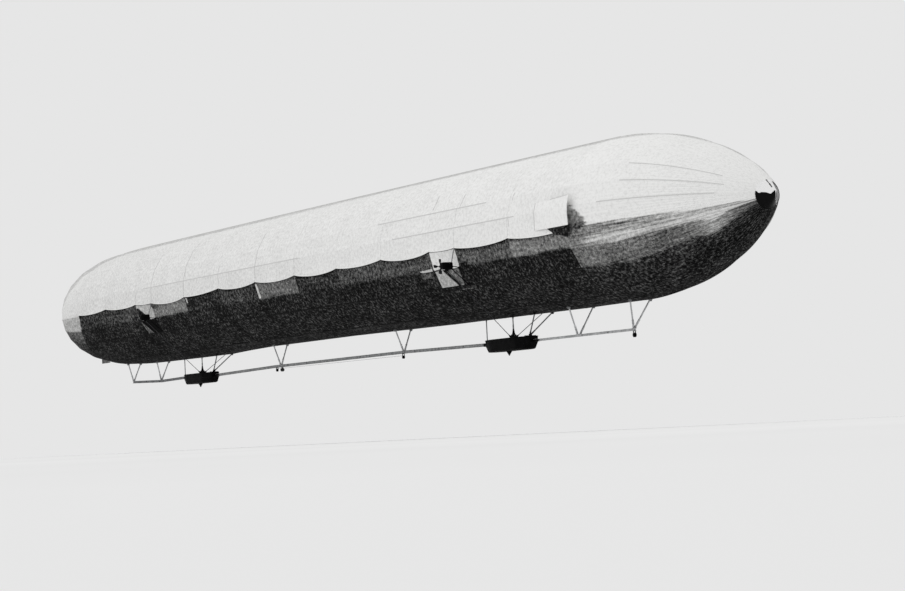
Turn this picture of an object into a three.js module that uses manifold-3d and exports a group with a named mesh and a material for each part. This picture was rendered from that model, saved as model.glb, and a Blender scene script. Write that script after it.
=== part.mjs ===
// Rigid airship of the first kind, as a 1:10 scale model.
// Millimetres of the model: 100 mm here is 1 m of the real ship.
// +X points to the bow, +Z up, so starboard is -Y. The origin is on the hull's axis at mid-length.

import * as THREE from 'three';
import { mergeVertices } from 'three/addons/utils/BufferGeometryUtils.js';
import Module from 'manifold-3d';

const wasm = await Module();
wasm.setup();

// Hull: a prism of 24 flat facets with a rounded stern and a pointed bow
const SIDES = 24;
const FACET_DEG = 360 / SIDES;
const HULL_RADIUS = 586;
const WALL = 10;
const WELD = 1e-4;
const RUNNING_GAP = 0.3;
// How far a piece runs into the one that it is joined to
const ROOT = 2;
// The ship is bent: both ends hang a little lower than its middle
const HALF_LENGTH = 6400;
const END_DROOP = 13.6;
const BOW = { start: 4809, tip: 6499, power: 1.98, roundness: 0.847 };
const STERN = { start: 3263, tip: 6356, power: 5.17, roundness: 1.006 };

// Ring frames that the covers are laced to, from stern to bow
const STERN_COVER_RINGS = [-6260, -6200, -6110, -6000, -5850, -5650, -5400, -5100, -4800];
const MIDDLE_RINGS = [-4800, -4000, -3200, -2800, -2000, -1200, -400, 400, 1200, 2000, 2800, 3200, 4000, 4800];
const BOW_COVER_RINGS = [4800, 5100, 5400, 5650, 5850, 6020, 6160, 6280, 6384];

// Angles round the hull, 0 to port and 90 on top
const PORT_EDGE_DEG = -FACET_DEG / 2;
const STARBOARD_EDGE_DEG = 180 + FACET_DEG / 2;
const BAND_DEG = 2 * FACET_DEG;
const EDGE_GAP_DEG = THREE.MathUtils.radToDeg(RUNNING_GAP / HULL_RADIUS);
const SIDES_OF_SHIP = [{ name: 'starboard', sign: -1 }, { name: 'port', sign: 1 }];

// Short bays behind the propellers, covered with paler cloth
const BAYS = [{ name: 'aft', from: -3200, to: -2800 }, { name: 'fore', from: 2800, to: 3200 }];

// Sheet metal caps of the two ends
const END_CAP_THICKNESS = 8;
const END_CAP_TIP_THICKNESS = 14;
const END_CAP_SHARES = [0, 0.25, 0.5, 0.75, 0.92];

// Loose flap of the cover on the starboard side, lifted at its fore edge
const FLAP = { aft: 4390, fore: 4900, thickness: 8, liftAft: 8.3, liftFore: 45, lowDeg: 185.5, highDeg: 166 };

// Keel beam: an I-shaped girder under the hull in three lengths, between and beyond the gondolas
const BEAMS = {
  // depth of its section, and its bent line as stations and heights of its middle
  aft: { depth: 25, line: [[-4777, -777], [-4015, -798], [-3335, -788]] },
  middle: { depth: 25, line: [[-2665, -799], [-1290, -780], [1270, -780], [2665, -796]] },
  fore: { depth: 18, line: [[3335, -802], [4747, -802]] },
};
const BEAM_WIDTH = 15;
const BEAM_WEB = 4;
const BEAM_FLANGE = 4;

// V struts from the hull's bottom down to the beam
const STRUTS = [
  // station of the foot, how far the heads stand ahead of it, and distance of heads and feet from the middle
  { name: 'end_aft', x: -4760, lean: 35, headY: 69, footY: 5, beam: BEAMS.aft },
  { name: 'aft', x: -4015, lean: 55, headY: 66, footY: 5, beam: BEAMS.aft },
  { name: 'middle_aft', x: -1165, lean: 0, headY: 71, footY: 7, beam: BEAMS.middle },
  { name: 'middle_fore', x: 1235, lean: 0, headY: 74, footY: 8, beam: BEAMS.middle },
  { name: 'fore', x: 3985, lean: 50, headY: 108, footY: 12, beam: BEAMS.fore },
  { name: 'end_fore', x: 4730, lean: 95, headY: 86, footY: 5, beam: BEAMS.fore },
];
const STRUT_RADIUS = 5.5;
const SLEEVE_RADIUS = 7.5;
const SLEEVE_SHARE = 0.3;
const STRUT_HEAD_DEPTH = 20;
const STRUT_HEAD_PLATE = 12;
const STRUT_SHOE = { halfLength: 13, halfWidth: 8, height: 4 };

// Gondolas: open boats, one under each half of the ship
const GONDOLA_TOP = -765;
const GONDOLA_KNUCKLE = -812;
const GONDOLA_BOTTOM = -862;
const GONDOLA_WALL = 10;
const GONDOLA_HALF_LENGTH = 335;
const GONDOLA_HALF_WIDTH = 90;
const GONDOLA_SHOULDER = 190;
const GONDOLA_END_HALF_WIDTH = 40;
const GONDOLA_RAKE = 32;
const GONDOLA_FLARE = 12;
const GONDOLA_FLOOR = GONDOLA_BOTTOM + GONDOLA_WALL;
// Inside, the end walls are thinner at the corners and the lower part rakes less
const GONDOLA_CORNER_WALL = 6;
const GONDOLA_INNER_SHOULDER = 188;
const GONDOLA_INNER_RAKE = 25.6;
const GONDOLA_INNER_FLARE = 9.6;
const GONDOLA_FOOT = { top: 26, tip: 5, height: 36 };
const GONDOLAS = [
  // middle of the gondola, then its posts, foot, stays and the bar under them measured from there
  { name: 'aft', x: -3000, aftPost: -400, centrePost: 30, foot: -30, stayFoot: 308, stayHead: 575, barHalfWidth: 44,
    beam: BEAMS.aft },
  { name: 'fore', x: 3000, aftPost: -370, centrePost: 40, foot: -40, stayFoot: 290, stayHead: 500, barHalfWidth: 50,
    beam: BEAMS.middle },
];
const STAY_BAR = { halfLength: 6, height: 6 };
const STAY_BLOCK = { halfLength: 9, halfWidth: 10, height: 16 };
const STAY_FOOT_Y = 4;
const STAY_HEAD_Y = 78;
const STAY_RADIUS = 5;
const POST_RADIUS = 5;
const POST_FOOT_RADIUS = 13;
const POST_SLEEVE_RADIUS = 7.5;
const POST_SLEEVE_HEIGHT = 70;

// Engine with a bevel case on a pedestal, which drives a shaft to each side
const ENGINE = { aft: -112, fore: -8, halfWidth: 24, crankTop: -814, shaftDepth: 13, potRadius: 11, potTop: -776,
  pots: 4 };
const FLYWHEEL = { x: 2, radius: 24, thickness: 9, shaftRadius: 5 };
const PEDESTAL = { halfLength: 17, halfWidth: 22, top: -736 };
const SHAFT_ROOT = { y: 34, z: -750 };

// Propeller stations on outriggers at the hull's sides, two metres ahead of each gondola's middle
const STATION_OFFSET = 200;
const GEARBOX = { y: 655, z: -215, halfLength: 24, halfWidth: 45, halfHeight: 27 };
const OUTRIGGER_FEET = [
  // longeron below the ship's side, distance along the hull, and start on the gearbox
  { deg: -7.5, alongHull: 0, fromX: 0, fromZ: 20 },
  { deg: -22.5, alongHull: 0, fromX: 0, fromZ: 0 },
  { deg: -37.5, alongHull: 0, fromX: 0, fromZ: -20 },
  { deg: -22.5, alongHull: -400, fromX: -14, fromZ: 0 },
];
const OUTRIGGER_TUBE = 3.5;
const SHAFT_TIP = { y: 660, z: -236 };
const SHAFT_RADIUS = 3.5;
const COUPLING_RADIUS = 6.5;
const COUPLING_LENGTH = 9;
const BOSS_RADIUS = 8;
const BOSS_LENGTH = 24;
const PROPELLER = { y: 680, z: -215, x: -52, blades: 4, pitchDeg: 24, thickness: 3, hubRadius: 8, hubLength: 16,
  stubRadius: 4.5 };
const BLADE = [
  // distance from the hub's middle, and width there
  { out: 2, width: 8 },
  { out: 20, width: 8 },
  { out: 38, width: 26 },
  { out: 52, width: 26 },
  { out: 57.5, width: 17 },
];

// Weight that runs under the beam, and the pulleys of its rope
const PULLEYS = [
  // station, drop of the pulley's middle below the beam, and its radius
  { name: 'aft', x: -1255, drop: 22, radius: 14, beam: BEAMS.middle },
  { name: 'middle', x: 1220, drop: 28, radius: 14, beam: BEAMS.middle },
  { name: 'fore', x: 4730, drop: 30, radius: 17, beam: BEAMS.fore },
];
const PULLEY = { thickness: 14, cheek: 3 };
const WEIGHT = { x: -1145, halfLength: 15, radius: 16, drop: 24, neck: 3, carriageHalf: 14, carriageThickness: 4 };

// Rudder under the stern, turning on a stock in a bracket
const RUDDER = { x: -5415, length: 225, bottom: -543, top: -513, aftTop: -457, thickness: 6, stockRadius: 4 };
const RUDDER_BRACKET = { halfLength: 12, halfWidth: 10, height: 30 };

const airship = new THREE.Group();

const finishes = {
  paleCotton: new THREE.MeshStandardMaterial({ color: 0xdcdcda, roughness: 0.85 }),
  darkCotton: new THREE.MeshStandardMaterial({ color: 0x3a3a3a, roughness: 0.9 }),
  greyCotton: new THREE.MeshStandardMaterial({ color: 0x777776, roughness: 0.9 }),
  polishedSheet: new THREE.MeshStandardMaterial({ color: 0xc4c6c8, roughness: 0.2, metalness: 1 }),
  aluminiumTube: new THREE.MeshStandardMaterial({ color: 0x8a8c8e, roughness: 0.45, metalness: 1 }),
  darkSheet: new THREE.MeshStandardMaterial({ color: 0x4a4b4c, roughness: 0.5, metalness: 1 }),
  castIron: new THREE.MeshStandardMaterial({ color: 0x2c2c2e, roughness: 0.6, metalness: 0.8 }),
  lead: new THREE.MeshStandardMaterial({ color: 0x3c3d40, roughness: 0.6, metalness: 0.9 }),
  shaftSteel: new THREE.MeshStandardMaterial({ color: 0x6c6e70, roughness: 0.35, metalness: 1 }),
};

function addPart(name, geometry, material) {
  const mesh = new THREE.Mesh(geometry, material);
  mesh.name = name;
  airship.add(mesh);
  return mesh;
}

// Distance of the longerons from the axis at a station
function hullRadius(x) {
  const end = x > 0 ? BOW : STERN;
  const share = Math.min(Math.max((Math.abs(x) - end.start) / (end.tip - end.start), 0), 1);
  return HULL_RADIUS * (1 - share ** end.power) ** end.roundness;
}

function axisHeight(x) {
  return -END_DROOP * (x / HALF_LENGTH) ** 2;
}

// Height of the hull's bottom at a station and a distance to the side, over its lowest three facets
function hullUnderside(x, y) {
  const half = THREE.MathUtils.degToRad(FACET_DEG / 2);
  const beyond = Math.max(Math.abs(y) - hullRadius(x) * Math.sin(half), 0);
  return axisHeight(x) - hullRadius(x) * Math.cos(half) + beyond * Math.tan(2 * half);
}

// A wall keeps its thickness where the hull slopes towards its ends
function innerRadius(x, wall) {
  const step = 2;
  const slope = (hullRadius(x + step) - hullRadius(x - step)) / (2 * step);
  return hullRadius(x) - wall * Math.sqrt(1 + slope * slope) / Math.cos(THREE.MathUtils.degToRad(FACET_DEG / 2));
}

function roundPoint(x, radius, angleDeg) {
  const angle = THREE.MathUtils.degToRad(angleDeg);
  return new THREE.Vector3(x, radius * Math.cos(angle), axisHeight(x) + radius * Math.sin(angle));
}

// A point of the faceted section; angles between two longerons lie on the flat between them
function sectionPoint(x, radius, angleDeg) {
  const facets = (angleDeg - PORT_EDGE_DEG) / FACET_DEG;
  const lower = Math.floor(facets + 1e-9);
  const corner = (k) => roundPoint(x, radius, PORT_EDGE_DEG + k * FACET_DEG);
  return corner(lower).lerp(corner(lower + 1), Math.max(facets - lower, 0));
}

// Closed body through rings of equally many points, with a flat cap on its first and last ring
function loft(rings, flatten) {
  const count = rings[0].length;
  const positions = rings.flat().flatMap((point) => [point.x, point.y, point.z]);
  const index = [];
  for (let ring = 0; ring + 1 < rings.length; ring += 1) {
    for (let corner = 0; corner < count; corner += 1) {
      const next = (corner + 1) % count;
      const a = ring * count + corner;
      const b = ring * count + next;
      const c = (ring + 1) * count + next;
      const d = (ring + 1) * count + corner;
      index.push(a, b, c, a, c, d);
    }
  }
  const last = (rings.length - 1) * count;
  const capFirst = THREE.ShapeUtils.triangulateShape(rings[0].map(flatten), []);
  const capLast = THREE.ShapeUtils.triangulateShape(rings[rings.length - 1].map(flatten), []);
  const firstFlipped = capRunsBackwards(rings[0], capFirst);
  const lastFlipped = capRunsBackwards(rings[rings.length - 1], capLast);
  capFirst.forEach(([a, b, c]) => index.push(...(firstFlipped ? [a, b, c] : [c, b, a])));
  capLast.forEach(([a, b, c]) => index.push(...(lastFlipped ? [last + c, last + b, last + a]
    : [last + a, last + b, last + c])));
  return outward(positions, index);
}

// True where a cap's triangles run round the other way than its ring does
function capRunsBackwards(ring, triangles) {
  const [a, b, c] = triangles[0];
  const order = [a, b, c].sort((p, q) => p - q);
  const start = order.indexOf(a);
  return order[(start + 1) % order.length] !== b;
}

// Geometry with its faces turned outwards
function outward(positions, index) {
  let volume = 0;
  const corner = (k) => new THREE.Vector3(positions[3 * k], positions[3 * k + 1], positions[3 * k + 2]);
  for (let k = 0; k < index.length; k += 3) {
    volume += corner(index[k]).dot(corner(index[k + 1]).cross(corner(index[k + 2])));
  }
  const turned = volume > 0 ? index : index.slice().reverse();
  const geometry = new THREE.BufferGeometry();
  geometry.setAttribute('position', new THREE.Float32BufferAttribute(positions, 3));
  geometry.setIndex(turned);
  return geometry;
}

const lookAlongX = (point) => new THREE.Vector2(point.y, point.z);
const lookAlongZ = (point) => new THREE.Vector2(point.x, point.y);

function steps(from, to, step) {
  const count = Math.round(Math.abs(to - from) / step);
  return Array.from({ length: count + 1 }, (_, k) => from + (to - from) * k / count);
}

// Part of the hull's wall between two angles, along a run of ring frames; its long edges can stand back a little
function coverPiece(rings, fromDeg, toDeg, edgeGapDeg = 0) {
  const angles = steps(fromDeg, toDeg, FACET_DEG);
  angles[0] += edgeGapDeg;
  angles[angles.length - 1] -= edgeGapDeg;
  return loft(rings.map((x) => [
    ...angles.map((angle) => sectionPoint(x, hullRadius(x), angle)),
    ...angles.slice().reverse().map((angle) => sectionPoint(x, innerRadius(x, WALL), angle)),
  ]), lookAlongX);
}

// Whole form of a run of the hull, used to trim the heads of struts and posts to it
function hullForm(clearance, rings = MIDDLE_RINGS) {
  const angles = steps(PORT_EDGE_DEG, PORT_EDGE_DEG + 360 - FACET_DEG, FACET_DEG);
  const grow = clearance / Math.cos(THREE.MathUtils.degToRad(FACET_DEG / 2));
  return loft(rings.map((x) => angles.map((angle) => sectionPoint(x, hullRadius(x) + grow, angle))), lookAlongX);
}

function weld(geometry) {
  const bare = geometry.clone();
  bare.deleteAttribute('normal');
  bare.deleteAttribute('uv');
  return mergeVertices(bare, WELD);
}

function solid(geometry) {
  const merged = weld(geometry);
  return new wasm.Manifold(new wasm.Mesh({
    numProp: 3,
    vertProperties: Float32Array.from(merged.attributes.position.array),
    triVerts: Uint32Array.from(merged.index.array),
  }));
}

function toGeometry(manifold) {
  const mesh = manifold.getMesh();
  const geometry = new THREE.BufferGeometry();
  geometry.setAttribute('position', new THREE.BufferAttribute(Float32Array.from(mesh.vertProperties), 3));
  geometry.setIndex(new THREE.BufferAttribute(Uint32Array.from(mesh.triVerts), 1));
  return geometry;
}

// One body from pieces that run into each other, less what is cut away
function fused(pieces, cuts = []) {
  const joined = pieces.map(solid).reduce((whole, piece) => whole.add(piece));
  return toGeometry(cuts.map(solid).reduce((rest, cut) => rest.subtract(cut), joined));
}

function boxBetween(x, y, z) {
  const geometry = new THREE.BoxGeometry(x[1] - x[0], y[1] - y[0], z[1] - z[0]);
  geometry.translate((x[0] + x[1]) / 2, (y[0] + y[1]) / 2, (z[0] + z[1]) / 2);
  return geometry;
}

function rod(from, to, radius, sides = 8, tipRadius = radius) {
  const start = new THREE.Vector3(...from);
  const end = new THREE.Vector3(...to);
  const along = end.clone().sub(start);
  const geometry = new THREE.CylinderGeometry(tipRadius, radius, along.length(), sides);
  const turn = new THREE.Quaternion().setFromUnitVectors(new THREE.Vector3(0, 1, 0), along.clone().normalize());
  geometry.applyQuaternion(turn);
  geometry.translate(...start.add(end).divideScalar(2).toArray());
  return geometry;
}

const hullKeepOut = hullForm(RUNNING_GAP);
const bowKeepOut = hullForm(RUNNING_GAP, BOW_COVER_RINGS);

// Covers of the hull, split where the cloth changes
function makeCovers() {
  const runs = [
    { name: 'stern', rings: STERN_COVER_RINGS, lower: finishes.greyCotton },
    { name: 'middle', rings: MIDDLE_RINGS, lower: finishes.darkCotton, windows: true },
    { name: 'bow', rings: BOW_COVER_RINGS, lower: finishes.darkCotton },
  ];
  const windows = BAYS.flatMap((bay) => SIDES_OF_SHIP.map((side) => bayWindow(bay, side)));
  for (const run of runs) {
    const lower = coverPiece(run.rings, STARBOARD_EDGE_DEG, 360 + PORT_EDGE_DEG, EDGE_GAP_DEG);
    addPart(`upper_cover_${run.name}`, coverPiece(run.rings, PORT_EDGE_DEG, STARBOARD_EDGE_DEG),
      finishes.paleCotton);
    addPart(`lower_cover_${run.name}`, run.windows ? fused([lower], windows) : lower, run.lower);
  }
}

// Room for a bay's pale panel in the lower cover, open at the top edge
function bayWindow(bay, side) {
  const over = 1;
  const reach = 4 * WALL;
  const [fromDeg, toDeg] = side.sign < 0
    ? [STARBOARD_EDGE_DEG - over, STARBOARD_EDGE_DEG + BAND_DEG]
    : [360 + PORT_EDGE_DEG - BAND_DEG, 360 + PORT_EDGE_DEG + over];
  const angles = [fromDeg, (fromDeg + toDeg) / 2, toDeg];
  const rings = [bay.from - RUNNING_GAP, bay.to + RUNNING_GAP];
  return loft(rings.map((x) => [
    ...angles.map((angle) => roundPoint(x, HULL_RADIUS + reach, angle)),
    ...angles.slice().reverse().map((angle) => roundPoint(x, HULL_RADIUS - reach, angle)),
  ]), lookAlongX);
}

// Pale panels behind the four propellers
function makeBayPanels() {
  for (const bay of BAYS) {
    for (const side of SIDES_OF_SHIP) {
      const fromDeg = side.sign < 0 ? STARBOARD_EDGE_DEG : 360 + PORT_EDGE_DEG - BAND_DEG;
      addPart(`${bay.name}_${side.name}_bay_panel`,
        coverPiece([bay.from, bay.to], fromDeg, fromDeg + BAND_DEG, EDGE_GAP_DEG), finishes.paleCotton);
    }
  }
}

// Sheet metal cups that close the two ends of the cover
function makeEndCap(name, end, rim, direction) {
  const tip = direction * end.tip;
  const outer = END_CAP_SHARES.map((share) => rim + (tip - rim) * share)
    .map((x) => new THREE.Vector2(hullRadius(x), x));
  const hollow = tip - direction * END_CAP_TIP_THICKNESS;
  const inner = END_CAP_SHARES.slice(0, -1).map((share) => rim + (hollow - rim) * share)
    .map((x, k) => new THREE.Vector2(outer[k].x - END_CAP_THICKNESS, x));
  const profile = [new THREE.Vector2(0, tip), ...outer.reverse(), ...inner, new THREE.Vector2(0, hollow)];
  const geometry = new THREE.LatheGeometry(profile, SIDES);
  geometry.rotateZ(-Math.PI / 2);
  geometry.rotateX(THREE.MathUtils.degToRad(PORT_EDGE_DEG));
  geometry.translate(0, 0, axisHeight(rim));
  const merged = weld(geometry);
  addPart(name, outward(Array.from(merged.attributes.position.array), Array.from(merged.index.array)),
    finishes.polishedSheet);
}

// Loose flap on the starboard side, a wedge of cloth open towards the bow
function makeCoverFlap() {
  const lift = (x) => FLAP.liftAft + (FLAP.liftFore - FLAP.liftAft) * (x - FLAP.aft) / (FLAP.fore - FLAP.aft);
  const slack = THREE.MathUtils.radToDeg(FLAP.thickness / HULL_RADIUS);
  const wedge = (rings, angles, outerLift, innerLift) => loft(rings.map((x) => [
    ...angles.map((angle) => sectionPoint(x, HULL_RADIUS + outerLift(x), angle)),
    ...angles.slice().reverse().map((angle) => sectionPoint(x, HULL_RADIUS + innerLift(x), angle)),
  ]), lookAlongX);
  const seam = STARBOARD_EDGE_DEG - FACET_DEG;
  const outer = wedge([FLAP.aft, FLAP.fore], [FLAP.highDeg, seam, FLAP.lowDeg], lift, () => -FLAP.thickness);
  const hollow = wedge([FLAP.aft + FLAP.thickness, FLAP.fore + FLAP.thickness],
    [FLAP.highDeg + slack, seam, FLAP.lowDeg - slack], (x) => lift(x) - FLAP.thickness, () => -2 * FLAP.thickness);
  addPart('cover_flap', fused([outer], [hollow, bowKeepOut, hullKeepOut]),
    finishes.paleCotton);
}

// Height of a bent beam's middle at a station
function beamHeight(beam, x) {
  const next = Math.max(1, beam.line.findIndex(([station]) => station >= x));
  const [[fromX, fromZ], [toX, toZ]] = [beam.line[next - 1], beam.line[next]];
  return fromZ + (toZ - fromZ) * (x - fromX) / (toX - fromX);
}

// Height at which a level shoe lies on a beam
function beamSeat(beam, x) {
  const ends = [x - STRUT_SHOE.halfLength, x + STRUT_SHOE.halfLength];
  return Math.max(...ends.map((end) => beamHeight(beam, end))) + beam.depth / 2 + RUNNING_GAP;
}

function beamBottom(beam, x) {
  return beamHeight(beam, x) - beam.depth / 2;
}

// Keel beam in three lengths, I-shaped, bent a little where it is hung
function makeKeelBeams() {
  for (const [name, beam] of Object.entries(BEAMS)) {
    const top = beam.depth / 2;
    const quarter = [[BEAM_WIDTH / 2, top], [BEAM_WIDTH / 2, top - BEAM_FLANGE], [BEAM_WEB / 2, top - BEAM_FLANGE]];
    const right = [...quarter, ...quarter.slice().reverse().map(([y, z]) => [y, -z])];
    const section = [...right, ...right.slice().reverse().map(([y, z]) => [-y, z])];
    const rings = beam.line.map(([x, middle]) => section.map(([y, z]) => new THREE.Vector3(x, y, middle + z)));
    addPart(`keel_beam_${name}`, loft(rings, lookAlongX), finishes.aluminiumTube);
  }
}

// Rope pulleys in their blocks under the beam
function makePulleys() {
  const outer = PULLEY.thickness / 2 + PULLEY.cheek;
  for (const { name, x, drop, radius, beam } of PULLEYS) {
    const bottom = beamBottom(beam, x);
    const centre = bottom - drop;
    const pieces = [
      rod([x, -PULLEY.thickness / 2, centre], [x, PULLEY.thickness / 2, centre], radius, 16),
      boxBetween([x - PULLEY.cheek, x + PULLEY.cheek], [-outer, outer],
        [centre - PULLEY.cheek, bottom - RUNNING_GAP]),
    ];
    addPart(`keel_pulley_${name}`, fused(pieces), finishes.darkSheet);
  }
}

// V struts, spread to the hull's bottom and joined at a shoe on the beam
function makeKeelStruts() {
  for (const { name, x, lean, headY, footY, beam } of STRUTS) {
    const headX = x + lean;
    const underside = hullUnderside(headX, headY);
    const seat = beamSeat(beam, x);
    const shoeHalfWidth = footY + STRUT_SHOE.halfWidth;
    const pieces = [boxBetween([x - STRUT_SHOE.halfLength, x + STRUT_SHOE.halfLength], [-shoeHalfWidth, shoeHalfWidth],
      [seat, seat + STRUT_SHOE.height])];
    for (const side of SIDES_OF_SHIP) {
      const low = [x, side.sign * footY, seat + STRUT_SHOE.height / 2];
      const high = [headX, side.sign * headY, underside + STRUT_HEAD_DEPTH];
      const sleeveTop = low.map((value, k) => value + (high[k] - value) * SLEEVE_SHARE);
      pieces.push(
        rod(low, high, STRUT_RADIUS),
        rod(low, sleeveTop, SLEEVE_RADIUS),
        boxBetween([headX - STRUT_SHOE.halfLength, headX + STRUT_SHOE.halfLength],
          [high[1] - STRUT_HEAD_PLATE, high[1] + STRUT_HEAD_PLATE], [underside - STRUT_SHOE.height, high[2]]),
      );
    }
    const underSeat = boxBetween([x - 2 * SLEEVE_RADIUS, x + 2 * SLEEVE_RADIUS],
      [-headY, headY], [seat - 2 * SLEEVE_RADIUS, seat]);
    addPart(`keel_struts_${name}`, fused(pieces, [hullKeepOut, bowKeepOut, underSeat]), finishes.aluminiumTube);
  }
}

// Open boat with upright upper sides, a raked lower part and ends that narrow
function makeGondola(gondola) {
  const outline = (z, halfLength, halfWidth, shoulder, endHalfWidth) => [
    [-halfLength, -endHalfWidth], [-shoulder, -halfWidth], [shoulder, -halfWidth], [halfLength, -endHalfWidth],
    [halfLength, endHalfWidth], [shoulder, halfWidth], [-shoulder, halfWidth], [-halfLength, endHalfWidth],
  ].map(([x, y]) => new THREE.Vector3(gondola.x + x, y, z));
  const outer = (z, rake, flare) => outline(z, GONDOLA_HALF_LENGTH - rake, GONDOLA_HALF_WIDTH - flare,
    GONDOLA_SHOULDER, GONDOLA_END_HALF_WIDTH - flare / 2);
  const inner = (z, rake, flare) => outline(z, GONDOLA_HALF_LENGTH - rake - GONDOLA_WALL,
    GONDOLA_HALF_WIDTH - flare - GONDOLA_WALL, GONDOLA_INNER_SHOULDER,
    GONDOLA_END_HALF_WIDTH - flare / 2 - GONDOLA_CORNER_WALL);
  const boat = loft([
    outer(GONDOLA_BOTTOM, GONDOLA_RAKE, GONDOLA_FLARE),
    outer(GONDOLA_KNUCKLE, 0, 0),
    outer(GONDOLA_TOP, 0, 0),
    inner(GONDOLA_TOP, 0, 0),
    inner(GONDOLA_KNUCKLE, 0, 0),
    inner(GONDOLA_FLOOR, GONDOLA_INNER_RAKE, GONDOLA_INNER_FLARE),
  ], lookAlongZ);
  addPart(`${gondola.name}_gondola`, boat, finishes.darkSheet);
  const foot = new THREE.CylinderGeometry(GONDOLA_FOOT.top, GONDOLA_FOOT.tip, GONDOLA_FOOT.height, 4);
  foot.rotateY(Math.PI / 4);
  foot.rotateX(Math.PI / 2);
  foot.translate(gondola.x + gondola.foot, 0, GONDOLA_BOTTOM - RUNNING_GAP - GONDOLA_FOOT.height / 2);
  addPart(`${gondola.name}_gondola_foot`, toGeometry(solid(foot)), finishes.darkSheet);
}

// Engine with four pots, its flywheel and the bevel case that turns the drive out to both sides
function makeEngine(gondola) {
  const floor = GONDOLA_FLOOR + RUNNING_GAP;
  const aft = gondola.x + ENGINE.aft;
  const fore = gondola.x + ENGINE.fore;
  const caseX = gondola.x + gondola.centrePost;
  const wheelX = gondola.x + FLYWHEEL.x;
  const crankZ = ENGINE.crankTop - ENGINE.shaftDepth;
  const pieces = [
    boxBetween([aft, fore], [-ENGINE.halfWidth, ENGINE.halfWidth], [floor, ENGINE.crankTop]),
    boxBetween([caseX - PEDESTAL.halfLength, caseX + PEDESTAL.halfLength],
      [-PEDESTAL.halfWidth, PEDESTAL.halfWidth], [floor, PEDESTAL.top]),
    rod([fore - ROOT, 0, crankZ], [caseX, 0, crankZ], FLYWHEEL.shaftRadius, 10),
    rod([wheelX - FLYWHEEL.thickness / 2, 0, crankZ], [wheelX + FLYWHEEL.thickness / 2, 0, crankZ],
      FLYWHEEL.radius, 20),
  ];
  const pitch = (fore - aft) / ENGINE.pots;
  for (let pot = 0; pot < ENGINE.pots; pot += 1) {
    const x = aft + (pot + 0.5) * pitch;
    pieces.push(rod([x, 0, ENGINE.crankTop - ROOT], [x, 0, ENGINE.potTop], ENGINE.potRadius, 10));
  }
  for (const side of SIDES_OF_SHIP) {
    const line = shaftLine(gondola, side);
    pieces.push(rod(line.rootInside, line.rootFace, BOSS_RADIUS, 10));
  }
  addPart(`${gondola.name}_engine`, fused(pieces), finishes.castIron);
}

// Where a drive shaft starts and ends, and the faces of the bosses that it runs between
function shaftLine(gondola, side) {
  const station = gondola.x + STATION_OFFSET;
  const root = new THREE.Vector3(gondola.x + gondola.centrePost, side.sign * SHAFT_ROOT.y, SHAFT_ROOT.z);
  const tip = new THREE.Vector3(station, side.sign * SHAFT_TIP.y, SHAFT_TIP.z);
  const along = tip.clone().sub(root).normalize();
  const at = (point, distance) => point.clone().addScaledVector(along, distance).toArray();
  return {
    rootInside: at(root, -BOSS_LENGTH),
    rootFace: at(root, 0),
    shaftFrom: at(root, RUNNING_GAP),
    rootCoupling: at(root, RUNNING_GAP + COUPLING_LENGTH),
    tipCoupling: at(tip, -BOSS_LENGTH - RUNNING_GAP - COUPLING_LENGTH),
    shaftTo: at(tip, -BOSS_LENGTH - RUNNING_GAP),
    tipFace: at(tip, -BOSS_LENGTH),
    tip: tip.toArray(),
  };
}

// Struts and stays that hang a gondola from the hull
function makeHangers(gondola) {
  const hullInside = -HULL_RADIUS + STRUT_HEAD_DEPTH;
  const aftX = gondola.x + gondola.aftPost;
  const shoe = beamSeat(gondola.beam, aftX);
  const aftPost = [
    rod([aftX, 0, shoe + STRUT_SHOE.height / 2], [aftX, 0, hullInside], POST_RADIUS, 10),
    boxBetween([aftX - STRUT_SHOE.halfLength, aftX + STRUT_SHOE.halfLength],
      [-BEAM_WIDTH / 2, BEAM_WIDTH / 2], [shoe, shoe + STRUT_SHOE.height]),
  ];
  addPart(`${gondola.name}_hanger_post`, fused(aftPost, [hullKeepOut]), finishes.aluminiumTube);

  const postX = gondola.x + gondola.centrePost;
  const seat = PEDESTAL.top + RUNNING_GAP;
  const centrePost = [
    rod([postX, 0, seat + ROOT], [postX, 0, hullInside], POST_RADIUS, 10),
    rod([postX, 0, seat], [postX, 0, seat + POST_SLEEVE_HEIGHT], POST_FOOT_RADIUS, 10, POST_SLEEVE_RADIUS),
  ];
  addPart(`${gondola.name}_centre_post`, fused(centrePost, [hullKeepOut]), finishes.aluminiumTube);

  const footX = gondola.x + gondola.stayFoot;
  const rim = GONDOLA_TOP + RUNNING_GAP;
  const stays = [
    boxBetween([footX - STAY_BAR.halfLength, footX + STAY_BAR.halfLength],
      [-gondola.barHalfWidth, gondola.barHalfWidth], [rim, rim + STAY_BAR.height]),
    boxBetween([footX - STAY_BLOCK.halfLength, footX + STAY_BLOCK.halfLength],
      [-STAY_BLOCK.halfWidth, STAY_BLOCK.halfWidth], [rim, rim + STAY_BLOCK.height]),
  ];
  for (const side of SIDES_OF_SHIP) {
    stays.push(rod([footX, side.sign * STAY_FOOT_Y, rim + STAY_BLOCK.height - STAY_RADIUS],
      [gondola.x + gondola.stayHead, side.sign * STAY_HEAD_Y, hullInside], STAY_RADIUS));
  }
  addPart(`${gondola.name}_gondola_stays`, fused(stays, [hullKeepOut]), finishes.aluminiumTube);
}

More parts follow.
